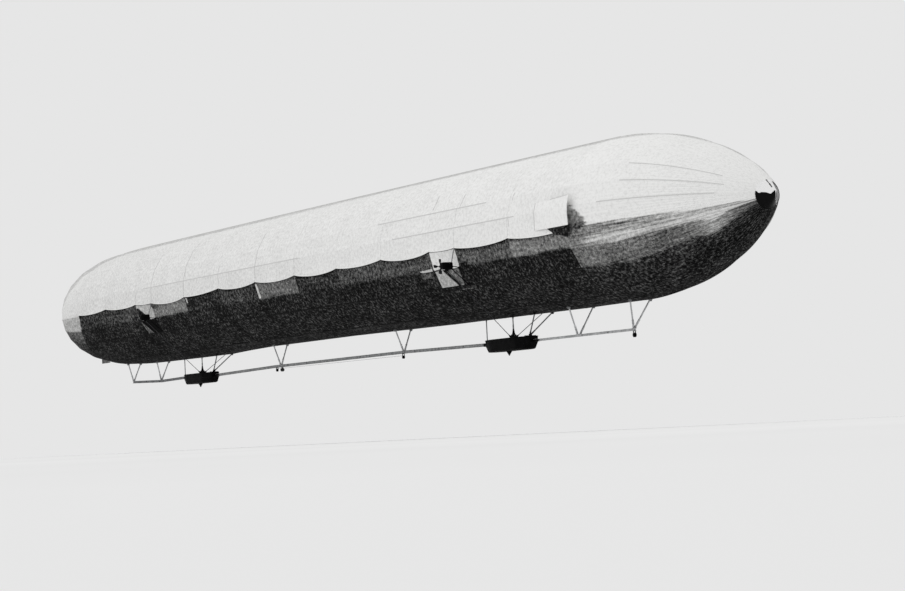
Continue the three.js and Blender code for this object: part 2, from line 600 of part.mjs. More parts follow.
// Outrigger with its gearbox, the shaft that drives it and the four-bladed propeller
function makeStation(gondola, side) {
  const name = `${gondola.name}_${side.name}`;
  const x = gondola.x + STATION_OFFSET;
  const y = (value) => side.sign * value;
  const line = shaftLine(gondola, side);
  const inner = y(GEARBOX.y - GEARBOX.halfWidth + ROOT);
  const span = [y(GEARBOX.y - GEARBOX.halfWidth), y(GEARBOX.y + GEARBOX.halfWidth)].sort((a, b) => a - b);
  const pieces = [
    boxBetween([x - GEARBOX.halfLength, x + GEARBOX.halfLength], span,
      [GEARBOX.z - GEARBOX.halfHeight, GEARBOX.z + GEARBOX.halfHeight]),
    rod(line.tip, line.tipFace, BOSS_RADIUS, 10),
  ];
  for (const foot of OUTRIGGER_FEET) {
    const angle = THREE.MathUtils.degToRad(foot.deg);
    const reach = HULL_RADIUS - STRUT_HEAD_DEPTH;
    pieces.push(rod([x + foot.fromX, inner, GEARBOX.z + foot.fromZ],
      [x + foot.alongHull, y(reach * Math.cos(angle)), axisHeight(x) + reach * Math.sin(angle)], OUTRIGGER_TUBE));
  }
  addPart(`${name}_outrigger`, fused(pieces, [hullKeepOut]), finishes.darkSheet);

  const shaft = [
    rod(line.shaftFrom, line.shaftTo, SHAFT_RADIUS, 12),
    rod(line.shaftFrom, line.rootCoupling, COUPLING_RADIUS, 12),
    rod(line.tipCoupling, line.shaftTo, COUPLING_RADIUS, 12),
  ];
  addPart(`${name}_drive_shaft`, fused(shaft), finishes.shaftSteel);
  addPart(`${name}_propeller`, propeller(x, side), finishes.aluminiumTube);
}

function propeller(stationX, side) {
  const hubX = stationX + PROPELLER.x;
  const centre = [hubX, side.sign * PROPELLER.y, PROPELLER.z];
  const pieces = [
    rod([hubX - PROPELLER.hubLength / 2, centre[1], centre[2]], [hubX + PROPELLER.hubLength / 2, centre[1],
      centre[2]], PROPELLER.hubRadius, 16),
    rod([hubX, centre[1], centre[2]], [stationX - GEARBOX.halfLength - RUNNING_GAP, centre[1], centre[2]],
      PROPELLER.stubRadius, 12),
  ];
  for (let blade = 0; blade < PROPELLER.blades; blade += 1) {
    const outline = new THREE.Shape([
      ...BLADE.map(({ out, width }) => new THREE.Vector2(width / 2, out)),
      ...BLADE.slice().reverse().map(({ out, width }) => new THREE.Vector2(-width / 2, out)),
    ]);
    const paddle = new THREE.ExtrudeGeometry(outline, { depth: PROPELLER.thickness, bevelEnabled: false });
    paddle.translate(0, 0, -PROPELLER.thickness / 2);
    // The blade stands along Z, its flat side across X, then turns to its pitch
    paddle.rotateX(Math.PI / 2);
    paddle.rotateZ(Math.PI / 2 - side.sign * THREE.MathUtils.degToRad(PROPELLER.pitchDeg));
    paddle.rotateX((blade * 2 * Math.PI) / PROPELLER.blades);
    paddle.translate(...centre);
    pieces.push(paddle);
  }
  return fused(pieces);
}

// Weight on its runner under the middle length of the beam
function makeTrimWeight() {
  const bottom = beamBottom(BEAMS.middle, WEIGHT.x);
  const top = bottom - RUNNING_GAP;
  const centre = bottom - WEIGHT.drop;
  const pieces = [
    boxBetween([WEIGHT.x - WEIGHT.carriageHalf, WEIGHT.x + WEIGHT.carriageHalf],
      [-BEAM_WIDTH / 2, BEAM_WIDTH / 2], [top - WEIGHT.carriageThickness, top]),
    rod([WEIGHT.x, 0, top - ROOT], [WEIGHT.x, 0, centre], WEIGHT.neck),
    rod([WEIGHT.x - WEIGHT.halfLength, 0, centre], [WEIGHT.x + WEIGHT.halfLength, 0, centre], WEIGHT.radius, 16),
  ];
  addPart('trim_weight', fused(pieces), finishes.lead);
}

// Rudder under the stern, hung on its stock from a bracket
function makeRudder() {
  const head = axisHeight(RUDDER.x) - hullRadius(RUDDER.x);
  const seat = RUDDER.top + RUNNING_GAP;
  const bracket = boxBetween([RUDDER.x - RUDDER_BRACKET.halfLength, RUDDER.x + RUDDER_BRACKET.halfLength],
    [-RUDDER_BRACKET.halfWidth, RUDDER_BRACKET.halfWidth], [seat, head + RUDDER_BRACKET.height]);
  addPart('rudder_bracket', fused([bracket], [hullForm(RUNNING_GAP, STERN_COVER_RINGS)]), finishes.darkSheet);

  const aft = RUDDER.x - RUDDER.length;
  const outline = new THREE.Shape([
    new THREE.Vector2(RUDDER.x, RUDDER.bottom),
    new THREE.Vector2(RUDDER.x, RUDDER.top - 2 * RUDDER.stockRadius),
    new THREE.Vector2(aft, RUDDER.aftTop),
    new THREE.Vector2(aft, RUDDER.bottom),
  ]);
  const plate = new THREE.ExtrudeGeometry(outline, { depth: RUDDER.thickness, bevelEnabled: false });
  plate.translate(0, 0, -RUDDER.thickness / 2);
  plate.rotateX(Math.PI / 2);
  const stock = rod([RUDDER.x, 0, RUDDER.bottom], [RUDDER.x, 0, RUDDER.top], RUDDER.stockRadius, 12);
  addPart('aft_rudder', fused([plate, stock]), finishes.greyCotton);
}

makeCovers();
makeBayPanels();
makeEndCap('nose_cap', BOW, BOW_COVER_RINGS[BOW_COVER_RINGS.length - 1], 1);
makeEndCap('tail_cap', STERN, STERN_COVER_RINGS[0], -1);
makeCoverFlap();
makeKeelBeams();
makePulleys();
makeKeelStruts();
makeTrimWeight();
makeRudder();
for (const gondola of GONDOLAS) {
  makeGondola(gondola);
  makeEngine(gondola);
  makeHangers(gondola);
  SIDES_OF_SHIP.forEach((side) => makeStation(gondola, side));
}

export default airship;
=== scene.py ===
"""Looks of a rigid airship, a 1:10 scale model in metres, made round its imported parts."""

import math

import bpy
import bmesh
import numpy as np
from mathutils import Matrix, Vector


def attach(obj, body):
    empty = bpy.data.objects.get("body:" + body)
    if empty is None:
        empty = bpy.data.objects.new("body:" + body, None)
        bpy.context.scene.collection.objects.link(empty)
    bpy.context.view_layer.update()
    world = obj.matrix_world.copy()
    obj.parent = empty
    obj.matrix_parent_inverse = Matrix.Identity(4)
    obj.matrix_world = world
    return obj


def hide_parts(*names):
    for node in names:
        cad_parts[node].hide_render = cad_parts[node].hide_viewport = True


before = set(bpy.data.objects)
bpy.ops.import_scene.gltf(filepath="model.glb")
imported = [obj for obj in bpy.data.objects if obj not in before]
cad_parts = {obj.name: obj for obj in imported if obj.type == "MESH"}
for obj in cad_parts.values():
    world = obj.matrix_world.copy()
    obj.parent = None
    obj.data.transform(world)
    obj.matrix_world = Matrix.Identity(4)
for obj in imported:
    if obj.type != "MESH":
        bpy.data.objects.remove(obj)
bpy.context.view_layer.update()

# Hull: 24 flat facets between longerons, +X to the bow, starboard is -Y.
# Angles run round it in degrees: 0 to port, 90 on top, 180 to starboard.
HULL_RADIUS = 0.586
FACET_DEG = 15.0
HALF_LENGTH = 6.4
END_DROOP = 0.0136
BOW = {"start": 4.809, "tip": 6.499, "power": 1.98, "roundness": 0.847}
STERN = {"start": 3.263, "tip": 6.356, "power": 5.17, "roundness": 1.006}
STERN_RINGS = [-6.26, -6.11, -5.85, -5.4, -5.1, -4.8]
MIDDLE_RINGS = [-4.8, -4.0, -3.2, -2.8, -2.0, -1.2, -0.4, 0.4, 1.2, 2.0, 2.8, 3.2, 4.0, 4.8]
BOW_RINGS = [4.8, 5.4, 5.85, 6.16, 6.398]
NOSE_CAP_RIM = 6.396
SIDE_LONGERON = 187.5
LAST_FACET = SIDE_LONGERON - FACET_DEG
BAND_FOOT = 202.5
BAY_FOOT = 217.5
PANEL_TOP = 184.5
HALVES = {"upper": (180 - SIDE_LONGERON, SIDE_LONGERON), "lower": (SIDE_LONGERON, 540 - SIDE_LONGERON)}
BAYS = {"aft": (-3.2, -2.8), "fore": (2.8, 3.2)}
SIDES = {"starboard": -1, "port": 1}

# An angle on the starboard side or the crown, and the same place on the other side
MIRRORS = (lambda angle: angle, lambda angle: 540 - angle)
# Metres of the real ship for each metre of the model
REAL = 10

# Thickness of covers and patches
CLOTH_THICKNESS = 0.003
PATCH_THICKNESS = 0.0012
PANEL_SAG = 0.0016
HEM_STAND_OFF = 0.004
# Lower edge of the pale cover: its angle at each middle ring, and how far it hangs down between them
HEM_AT_RINGS = [185.8, 185.0, 186.0, 187.2, 187.3, 185.2, 185.5,
                186.0, 186.7, 186.1, 186.8, 187.2, 187.0, 187.6]
HEM_DROPS = [1.9, 2.3, 0.9, 3.1, 1.5, 2.9, 2.7, 3.0, 2.2, 3.3, 0.9, 2.4, 2.3]

# Three lengths of the keel beam: depth, and station and height of the middle where the line bends
BEAMS = {
    "aft": {"depth": 0.025, "line": [(-4.777, -0.777), (-4.015, -0.798), (-3.335, -0.788)]},
    "middle": {"depth": 0.025, "line": [(-2.665, -0.799), (-1.29, -0.78), (1.27, -0.78), (2.665, -0.796)]},
    "fore": {"depth": 0.018, "line": [(3.335, -0.802), (4.747, -0.802)]},
}
BEAM_WIDTH = 0.015
# Ends of the beams at the gondolas, and the way from there along the beam
BEAM_JOINTS = {"aft": [(-3.335, -1)], "middle": [(-2.665, 1), (2.665, -1)], "fore": [(3.335, 1)]}
# Beam, station of the foot, how far ahead the heads stand, and how far heads and feet are from the middle
STRUTS = {
    "end_aft": ("aft", -4.760, 0.035, 0.069, 0.005),
    "aft": ("aft", -4.015, 0.055, 0.066, 0.005),
    "middle_aft": ("middle", -1.165, 0.0, 0.071, 0.007),
    "middle_fore": ("middle", 1.235, 0.0, 0.074, 0.008),
    "fore": ("fore", 3.985, 0.050, 0.108, 0.012),
    "end_fore": ("fore", 4.730, 0.095, 0.086, 0.005),
}
STRUT_SHOE_HALF = 0.013

# Gondolas: posts, foot and stays by their way from the gondola's middle, and half the stays' bar
GONDOLAS = {
    "aft": {"x": -3.0, "aft_post": -0.400, "centre_post": 0.030, "foot": -0.030, "beam": "aft",
            "stay_foot": 0.308, "stay_head": 0.575, "bar": 0.044},
    "fore": {"x": 3.0, "aft_post": -0.370, "centre_post": 0.040, "foot": -0.040, "beam": "middle",
             "stay_foot": 0.290, "stay_head": 0.500, "bar": 0.050},
}
GONDOLA_TOP = -0.765
GONDOLA_KNUCKLE = -0.812
GONDOLA_BOTTOM = -0.862
GONDOLA_HALF_LENGTH = 0.335
GONDOLA_HALF_WIDTH = 0.090
GONDOLA_SHOULDER = 0.190
GONDOLA_END_HALF_WIDTH = 0.040
GONDOLA_RAKE = 0.032
GONDOLA_FLARE = 0.012
GONDOLA_SHEET = 0.003
GONDOLA_FLOOR = GONDOLA_BOTTOM + 0.010
PEDESTAL_TOP = -0.736
STAY_FOOT_Y = 0.004
STAY_HEAD_Y = 0.078
STAY_BLOCK_HEIGHT = 0.016

# Propeller stations
STATION_OFFSET = 0.200
GEARCASE = {"y": 0.655, "z": -0.215, "half_length": 0.024, "half_width": 0.045, "half_height": 0.027}
# Tubes of an outrigger: angle and way along the hull of the foot, and the start's way from the case's middle
OUTRIGGER_FEET = [(-7.5, 0.0, 0.0, 0.020), (-22.5, 0.0, 0.0, 0.0), (-37.5, 0.0, 0.0, -0.020),
                  (-22.5, -0.400, -0.014, 0.0)]
# Ends of the drive shaft's line: distance from the ship's middle, and height
SHAFT_ROOT = (0.034, -0.750)
SHAFT_TIP = (0.660, -0.236)
BOSS_LENGTH = 0.024
PROPELLER = {"y": 0.680, "z": -0.215, "x": -0.052, "pitch": 24.0}

# Camera of the photograph
CAMERA_PLACE = (19.7172, -9.8838, -1.5018)
CAMERA_AZIMUTH = 60.699
CAMERA_ELEVATION = -3.210
CAMERA_ROLL = -2.758
LENS = 99.894
SENSOR = 36.0
CAMERA_ABOVE_FLOOR = 0.010


def hull_radius(x):
    """Distance of the longerons from the axis at a station."""
    x = np.asarray(x, float)
    radius = np.full(x.shape, HULL_RADIUS)
    for end, reach in ((BOW, x), (STERN, -x)):
        share = np.clip((reach - end["start"]) / (end["tip"] - end["start"]), 0.0, 1.0)
        radius = np.where(reach > 0, HULL_RADIUS * (1 - share ** end["power"]) ** end["roundness"], radius)
    return radius


def axis_height(x):
    """Height of the hull's axis, which bends down to both ends."""
    return -END_DROOP * (np.asarray(x, float) / HALF_LENGTH) ** 2


# How far the slack cloth under the keel hangs down: real station and model metres
BELLY = [(-56, 0.0), (-52, 0.003), (-46, 0.014), (-40, 0.018), (-30, 0.024), (-24, 0.026), (-20, 0.014),
         (-15, 0.004), (2, 0.004), (10, 0.010), (15, 0.013), (20, 0.016), (40, 0.016), (46, 0.010),
         (51, 0.008), (57, 0.014), (61, 0.008), (63, 0.002)]
BELLY_HALF_DEG = 45.0


def from_table(x, table):
    """Value at a station of the model, from a table by the real ship's stations."""
    return np.interp(np.asarray(x, float) * REAL, *zip(*table))


def belly(x, angle):
    """How far the cloth hangs down at a place."""
    away = np.clip((np.asarray(angle, float) % 360 - 270) / BELLY_HALF_DEG, -1, 1)
    return from_table(x, BELLY) * np.cos(away * math.pi / 2) ** 2


def skin(x, angle, lift=0.0):
    """Points on the faceted hull, lifted off it by some metres."""
    x, angle, lift = np.broadcast_arrays(*(np.asarray(value, float) for value in (x, angle, lift)))
    off_centre = angle - np.round(angle / FACET_DEG) * FACET_DEG
    flat = hull_radius(x) * math.cos(math.radians(FACET_DEG / 2)) + belly(x, angle) + lift
    reach = flat / np.cos(np.radians(off_centre))
    turn = np.radians(angle)
    return np.stack([x, reach * np.cos(turn), axis_height(x) + reach * np.sin(turn)], axis=-1)


def starboard_angle(angle):
    """The same place mirrored to starboard, between 90 and 270 degrees."""
    angle = np.asarray(angle, float)
    return np.where(np.cos(np.radians(angle)) > 0, (180.0 - angle) % 360.0, angle % 360.0)


def linear(hex_colour):
    """Linear RGBA of an sRGB hex value."""
    channels = [int(hex_colour[k:k + 2], 16) / 255 for k in (1, 3, 5)]
    return [c / 12.92 if c <= 0.04045 else ((c + 0.055) / 1.055) ** 2.4 for c in channels] + [1.0]


def connect(material, node, inputs):
    """Sets inputs of a node to values, or links them to outputs of other nodes."""
    for socket, value in dict(inputs).items():
        if isinstance(value, bpy.types.NodeSocket):
            material.node_tree.links.new(value, node.inputs[socket])
        else:
            node.inputs[socket].default_value = value


def add(material, kind, inputs=(), output=0, stops=(), **settings):
    """Adds a shader node with its inputs, its ramp's stops and its settings, and gives one of its outputs."""
    node = material.node_tree.nodes.new("ShaderNode" + kind)
    for key, value in settings.items():
        setattr(node, key, value)
    for k, (place, colour) in enumerate(stops):
        ramp = node.color_ramp.elements
        stop = ramp[k] if k < 2 else ramp.new(place)
        stop.position = place
        stop.color = colour
    connect(material, node, inputs)
    return node.outputs[output]


def new_material(name):
    """A material, and its shader."""
    material = bpy.data.materials.new(name)
    material.use_nodes = True
    return material, material.node_tree.nodes["Principled BSDF"]


# Tones of the cover's cotton from bleached to tarred, evenly spaced to the eye
COTTON_TONES = ["#f4f4f3", "#d0d0cf", "#a5a5a4", "#797978", "#4c4c4c", "#0d0d0d"]
# How strongly stains show: bleached cloth least, dyed cloth most, and tar covers them again
STAIN_STRENGTHS = [(0.0, 0.22), (1.0, 1.0), (0.5, 0.75), (0.82, 0.95)]


def cotton(name, shade):
    """Cotton cambric, woven plain and doped: dull, with faint threads, damp stains and a mottled nap.
    Shade runs from 0, bleached, to 1, tarred; the mesh's own shade is added to it,
    and in places that holds painted light and shade."""
    material, shader = new_material(name)

    def reckon(operation, first, second, **settings):
        return add(material, "Math", {0: first, 1: second}, operation=operation, **settings)

    unrolled = add(material, "UVMap", uv_map="unrolled")
    painted = add(material, "Attribute", output="Fac", attribute_name="shade")
    pleats = add(material, "Attribute", output="Fac", attribute_name="pleats")
    base = reckon("ADD", painted, shade)
    stains = add(material, "TexNoise", {"Vector": unrolled, "Scale": 4.5, "Detail": 4.0})
    # Uneven dye in blots 30 mm across on the model, down to a nap of 5 mm
    nap = add(material, "TexNoise", {"Vector": unrolled, "Scale": 34.0, "Detail": 5.0, "Roughness": 0.85})
    # Streaks along the pleats, 18 mm apart and some 400 mm long: painted light and shade where light grazes
    # them
    drawn = add(material, "Mapping", {"Vector": unrolled, "Scale": (2.5, 55.0, 1.0)})
    streaks = add(material, "TexNoise", {"Vector": drawn, "Scale": 1.0, "Detail": 2.0, "Roughness": 0.6})
    change = 0.0
    for texture, amount in ((stains, 0.35), (nap, 2.4), (streaks, pleats)):
        part = reckon("MULTIPLY", reckon("SUBTRACT", texture, 0.5), amount)
        change = reckon("ADD", part, change)
    strength = add(material, "ValToRGB", {"Fac": base},
                   stops=[(place, [share] * 3 + [1.0]) for place, share in STAIN_STRENGTHS])
    tone = reckon("ADD", base, reckon("MULTIPLY", change, strength), use_clamp=True)
    last = len(COTTON_TONES) - 1
    colour = add(material, "ValToRGB", {"Fac": tone},
                 stops=[(k / last, linear(tone_hex)) for k, tone_hex in enumerate(COTTON_TONES)])
    # Threads of the weave, real pitch 0.5 mm, drawn 5 mm apart so that they show
    warp, weft = (add(material, "TexWave", {"Vector": unrolled, "Scale": 31.4, "Distortion": 0.6},
                      output="Fac", bands_direction=direction) for direction in ("X", "Y"))
    cross = reckon("MULTIPLY", warp, weft)
    threads = add(material, "Bump", {"Height": cross, "Strength": 0.15, "Distance": 0.0004})
    creases = add(material, "Bump", {"Height": stains, "Strength": 0.3, "Distance": 0.004, "Normal": threads})
    connect(material, shader, {"Base Color": colour, "Normal": creases, "Roughness": 0.95,
                               "Specular IOR Level": 0.03})
    return material


def metal(name, clean_hex, stained_hex, roughness, spot_mm, coat=None):
    """Metal with a mottled surface: its clean and its stained colour, and the size of the spots.
    What lies under oil, rust, soot or tar shows only that coat, with its own gloss. So do wood and hemp."""
    material, shader = new_material(name)
    place = add(material, "TexCoord", output="Object")
    spots = add(material, "TexNoise",
                {"Vector": place, "Scale": 1000.0 / spot_mm, "Detail": 4.0, "Roughness": 0.65})
    colour = add(material, "ValToRGB", {"Fac": spots},
                 stops=[(0.38, linear(stained_hex)), (0.62, linear(clean_hex))])
    dull = add(material, "MapRange",
               {"Value": spots, "To Min": min(1.0, roughness + 0.12), "To Max": roughness - 0.08})
    grit = add(material, "TexNoise", {"Vector": place, "Scale": 8000.0 / spot_mm, "Detail": 2.0})
    bump = add(material, "Bump", {"Height": grit, "Strength": 0.2, "Distance": 0.0001})
    connect(material, shader, {"Base Color": colour, "Roughness": dull, "Normal": bump,
                               "Metallic": 1.0 if coat is None else 0.0})
    if coat is not None:
        connect(material, shader, {"Specular IOR Level": coat})
    return material


def polished_cap():
    """Aluminium sheet, spun and polished: a bright crown, with painted reflections, black below and grey to one
    side.
    """
    material, shader = new_material("polished aluminium sheet")
    painted = add(material, "Attribute", output="Fac", attribute_name="shade")
    place = add(material, "TexCoord", output="Object")
    clouds = add(material, "TexNoise", {"Vector": place, "Scale": 40.0, "Detail": 3.0})
    centred = add(material, "Math", {0: clouds, 1: 0.5}, operation="SUBTRACT")
    ragged = add(material, "Math", {0: centred, 1: 0.22}, operation="MULTIPLY")
    tone = add(material, "Math", {0: painted, 1: ragged}, operation="ADD", use_clamp=True)
    colour = add(material, "ValToRGB", {"Fac": tone},
                 stops=[(0.0, linear("#fafafa")), (1.0, linear("#161616")), (0.3, linear("#efefef")),
                        (0.45, linear("#565656")), (0.62, linear("#4a4a4a")), (0.72, linear("#141414"))])
    connect(material, shader, {"Base Color": colour, "Metallic": 1.0, "Roughness": 0.28})
    return material


pale_cotton = cotton("bleached cotton", 0.02)
washed_cotton = cotton("washed cotton", 0.62)
tarred_cotton = cotton("tarred cotton", 0.985)
pale_tape = cotton("bleached seam tape", 0.20)
dark_tape = cotton("tarred seam tape", 0.98)
# Drawn aluminium tube, still bright under a thin grey oxide
tube_metal = metal("drawn aluminium tube", "#cccdce", "#a8a9aa", 0.5, 30)
# Rolled aluminium girder, dull with oxide and hands
girder_metal = metal("rolled aluminium girder", "#9fa0a1", "#7b7c7d", 0.5, 30)
# Rolled aluminium plate of the splices, darker with grease
splice_metal = metal("greasy aluminium plate", "#858688", "#656668", 0.5, 20)
# Aluminium sheet, rolled; its near black is painted shade for the hull's shadow that it hangs in, and it hardly
# shines
shade_black_sheet = metal("blackened aluminium sheet", "#0a0a0b", "#050505", 0.6, 25, coat=0.04)
# Cast iron, left with its sand skin under a film of oil
engine_iron = metal("oily cast iron", "#1d1d1e", "#0f0f10", 0.5, 12, coat=0.2)
# Lead, poured, dull at once
weight_lead = metal("poured lead", "#2b2c2e", "#161617", 0.65, 10, coat=0.2)
# Steel, turned and wiped with oil
shaft_steel = metal("turned steel", "#515254", "#38393b", 0.38, 8)
# Aluminium sheet, beaten into blades, dull with weather
blade_sheet = metal("beaten aluminium sheet", "#3a3b3d", "#1f2021", 0.45, 14)
# Hemp rope, laid and tarred
hemp = metal("tarred hemp", "#3a3a38", "#222221", 0.9, 4, coat=0.1)
# Pine boards, trodden dark
deck_pine = metal("trodden pine boards", "#3b3a38", "#1d1c1b", 0.8, 18, coat=0.2)
cap_sheet = polished_cap()


def subdivide(marks, step):
    """Values from the first mark to the last with every mark among them, and each one's share of its gap."""
    values, shares = [], []
    for low, high in zip(marks, marks[1:]):
        count = max(1, round(abs(high - low) / step))
        for k in range(count):
            values.append(low + (high - low) * k / count)
            shares.append(k / count)
    return np.array(values + [marks[-1]]), np.array(shares + [0.0])


def settle(piece, body, replaced=()):
    """Says what a piece rides on and the nodes that it stands for."""
    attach(piece, body)
    if replaced:
        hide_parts(*replaced)
    return piece


def object_from(name, points, faces, materials, finishes=None, sharp_deg=30.0, recalculate=True):
    """A smooth mesh, sharp where its faces meet at more than an angle and along its open edges."""
    mesh = bpy.data.meshes.new(name)
    mesh.from_pydata([tuple(map(float, point)) for point in points], [], faces)
    for material in materials:
        mesh.materials.append(material)
    if finishes is not None:
        mesh.polygons.foreach_set("material_index", finishes)
    shape = bmesh.new()
    if recalculate:
        shape.from_mesh(mesh)
        bmesh.ops.recalc_face_normals(shape, faces=shape.faces)
        shape.to_mesh(mesh)
        shape.clear()
    mesh.polygons.foreach_set("use_smooth", [True] * len(mesh.polygons))
    mesh.set_sharp_from_angle(angle=math.radians(sharp_deg))
    shape.from_mesh(mesh)
    for edge in shape.edges:
        if edge.is_boundary:
            edge.smooth = False
    shape.to_mesh(mesh)
    shape.free()
    piece = bpy.data.objects.new(name, mesh)
    bpy.context.scene.collection.objects.link(piece)
    return piece


def lay_threads(mesh, unrolled):
    """Gives each corner of a mesh its place on the cloth as it lay flat."""
    corners = np.empty(len(mesh.loops), dtype=np.int32)
    mesh.loops.foreach_get("vertex_index", corners)
    mesh.uv_layers.new(name="unrolled").data.foreach_set("uv", unrolled[corners].ravel().astype(np.float32))


def paint(mesh, field, values):
    """Gives each point of a mesh a value that its material reads."""
    layer = mesh.attributes.new(field, "FLOAT", "POINT")
    layer.data.foreach_set("value", np.ravel(values).astype(np.float32))


def grid(stations, angles):
    """Stations down and angles across, as two arrays of one shape."""
    return np.broadcast_arrays(stations[:, None], angles)


def cloth(name, x, angle, lift, materials, shade=0.0, pleats=0.0, finish_of=None, left_out=None,
          thickness=CLOTH_THICKNESS, sharp_deg=9.0):
    """A cloth on the hull from grids of stations, angles and lifts. Its threads follow the unrolled hull."""
    x, angle, lift = np.broadcast_arrays(x, angle, lift)
    points = skin(x, angle, lift).reshape(-1, 3)
    corner = np.arange(x.size).reshape(x.shape)
    faces = np.stack([corner[:-1, :-1], corner[1:, :-1], corner[1:, 1:], corner[:-1, 1:]], axis=-1)
    middle_x = (x[:-1, :-1] + x[1:, :-1]) / 2
    middle_angle = (angle[:-1, :-1] + angle[:-1, 1:]) / 2
    kept = ~left_out(middle_x, middle_angle) if left_out else np.ones(middle_x.shape, bool)
    finishes = finish_of(middle_angle)[kept].tolist() if finish_of else None
    piece = object_from(name, points, faces[kept].tolist(), materials, finishes, sharp_deg, recalculate=False)
    mesh = piece.data
    lay_threads(mesh, np.stack([x, np.radians(angle) * HULL_RADIUS], axis=-1).reshape(-1, 2))
    paint(mesh, "shade", np.broadcast_to(shade, x.shape))
    paint(mesh, "pleats", np.broadcast_to(pleats, x.shape))
    if mesh.polygons[0].normal.dot(Vector((0, points[0][1], points[0][2]))) < 0:
        mesh.flip_normals()
    body = piece.modifiers.new("cloth thickness", "SOLIDIFY")
    body.thickness = thickness
    body.offset = -1.0
    return piece


def sag_of(station_shares, angle_shares):
    """Taut cloth drawn in a little between rings and longerons."""
    along = 4 * station_shares * (1 - station_shares)
    round_hull = 4 * angle_shares * (1 - angle_shares)
    return -PANEL_SAG * round_hull[None, :] * (0.45 + 0.55 * along[:, None])


def bay_share(x):
    """Number of the middle bay at a station, and the share of the bay aft of it."""
    rings = np.array(MIDDLE_RINGS)
    bay = np.clip(np.searchsorted(rings, x, side="right") - 1, 0, len(rings) - 2)
    return bay, (x - rings[bay]) / (rings[bay + 1] - rings[bay])


def hem_angle(x):
    """Lower edge of the pale cover, which hangs in scallops between rings."""
    bay, share = bay_share(x)
    scallop = (4 * share * (1 - share)) ** 0.85
    return np.interp(x, MIDDLE_RINGS, HEM_AT_RINGS) + np.array(HEM_DROPS)[bay] * scallop


def longerons_between(low, high):
    """Longeron angles from one angle to another, both ends included."""
    first = math.ceil((low - FACET_DEG / 2) / FACET_DEG) * FACET_DEG + FACET_DEG / 2
    inner = [value for value in np.arange(first, high, FACET_DEG) if low < value < high]
    return [low] + inner + [high]


# Painted shade along the crown's outline, where the hull turns away from the light: real station and
# angle of the grey line's middle. It runs over the crown on the bow and down beside it on the stern.
CROWN_SHADE_LINE = [(-58, 155), (-55, 142.7), (-50, 115), (-45, 105.3), (-40, 102.7), (48, 101.7), (50, 95.8),
              (52, 89.8), (54, 83.7), (56, 77.3), (58, 70.1), (60, 61.6), (62, 49.5), (63, 39.5), (64, 30)]


def crown_shade(x, angle):
    """Painted shade along the crown's outline at a place."""
    middle = from_table(x, CROWN_SHADE_LINE)
    width = np.interp(x, [-5.6, -4.9, -4.4, -1.0, 2.0], [24, 22, 13, 12, 10])
    over_all = np.interp((starboard_angle(angle) - middle) / width, [1.0, 1.3], [0.23, 0.0])
    on_bow = np.interp(angle - middle, [-14, -8, 9, 15], [0.0, 0.21, 0.21, 0.0])
    return np.where(np.asarray(x) < MIDDLE_RINGS[-1], over_all, on_bow)


def grain(u, v, seed):
    """Smooth random values from -1 to 1 that change once for each unit of u and v."""
    values = np.random.default_rng(seed).uniform(-1, 1, (97, 97))
    i, j = np.floor(u).astype(int), np.floor(v).astype(int)
    s, t = u - i, v - j
    s, t = s * s * (3 - 2 * s), t * t * (3 - 2 * t)
    low = values[i % 97, j % 97] * (1 - s) + values[(i + 1) % 97, j % 97] * s
    high = values[i % 97, (j + 1) % 97] * (1 - s) + values[(i + 1) % 97, (j + 1) % 97] * s
    return low * (1 - t) + high * t


# Shade of the dark cloth, and of the side band above it from each station on: washing left it uneven
TARRED = 0.98
BAND_SHADES = [(-4.8, 0.885), (-4.0, 0.845), (-2.8, 0.57), (-2.0, 0.95), (-1.2, 0.90), (-0.4, 0.68),
               (0.4, 0.91), (1.2, 0.80), (2.0, 0.79), (3.2, 0.75), (4.0, 0.565)]
# Rings with a darker line over them on the pale cover, and the line's shade
RING_MARKS = [(-4.8, 0.03), (-4.0, 0.06), (-3.2, 0.02), (-2.8, 0.15), (-2.0, 0.15), (-1.2, 0.04),
              (-0.4, 0.11), (0.4, 0.11), (1.2, 0.04), (2.0, 0.08), (2.8, 0.05), (3.2, 0.09), (4.0, 0.08)]


def ring_marks(x, angle):
    """Darker lines over the rings, darkest near the hem."""
    marks = sum(shade * np.clip(1.6 - np.abs(x - ring) / 0.005, 0, 1) for ring, shade in RING_MARKS)
    return marks * np.interp(starboard_angle(angle), [115, 140, 186], [0.0, 0.6, 1.0])


def make_upper_middle_cover(stations, station_shares, hem):
    """Pale cover of the middle run, whose last facet on each side ends at the hem."""
    angles, angle_shares = subdivide(longerons_between(*HALVES["upper"]), 2.5)
    side = np.maximum(angles, 180 - angles)
    last = LAST_FACET + (side - LAST_FACET) * (hem - LAST_FACET) / FACET_DEG
    side = np.where(side > LAST_FACET, last, side)
    x, angle = np.broadcast_arrays(stations[:, None], np.where(angles > 90, side, 180 - side))
    stand_off = HEM_STAND_OFF * np.clip((side - hem) / 3 + 1, 0, 1)
    greyed = np.interp(x, [-4.8, -2.4, 0.0, 4.0], [0.085, 0.065, 0.05, 0.02])
    greyed = greyed + np.interp(angle, [165, 186], [0.0, 0.025]) * np.interp(x, [0.4, 0.9], [1.0, 0.0])
    upper = cloth("upper_cover_middle_cloth", x, angle, sag_of(station_shares, angle_shares) + stand_off,
                  [pale_cotton], shade=np.maximum(crown_shade(x, angle), greyed + ring_marks(x, angle)))
    settle(upper, "hull", ["upper_cover_middle"])


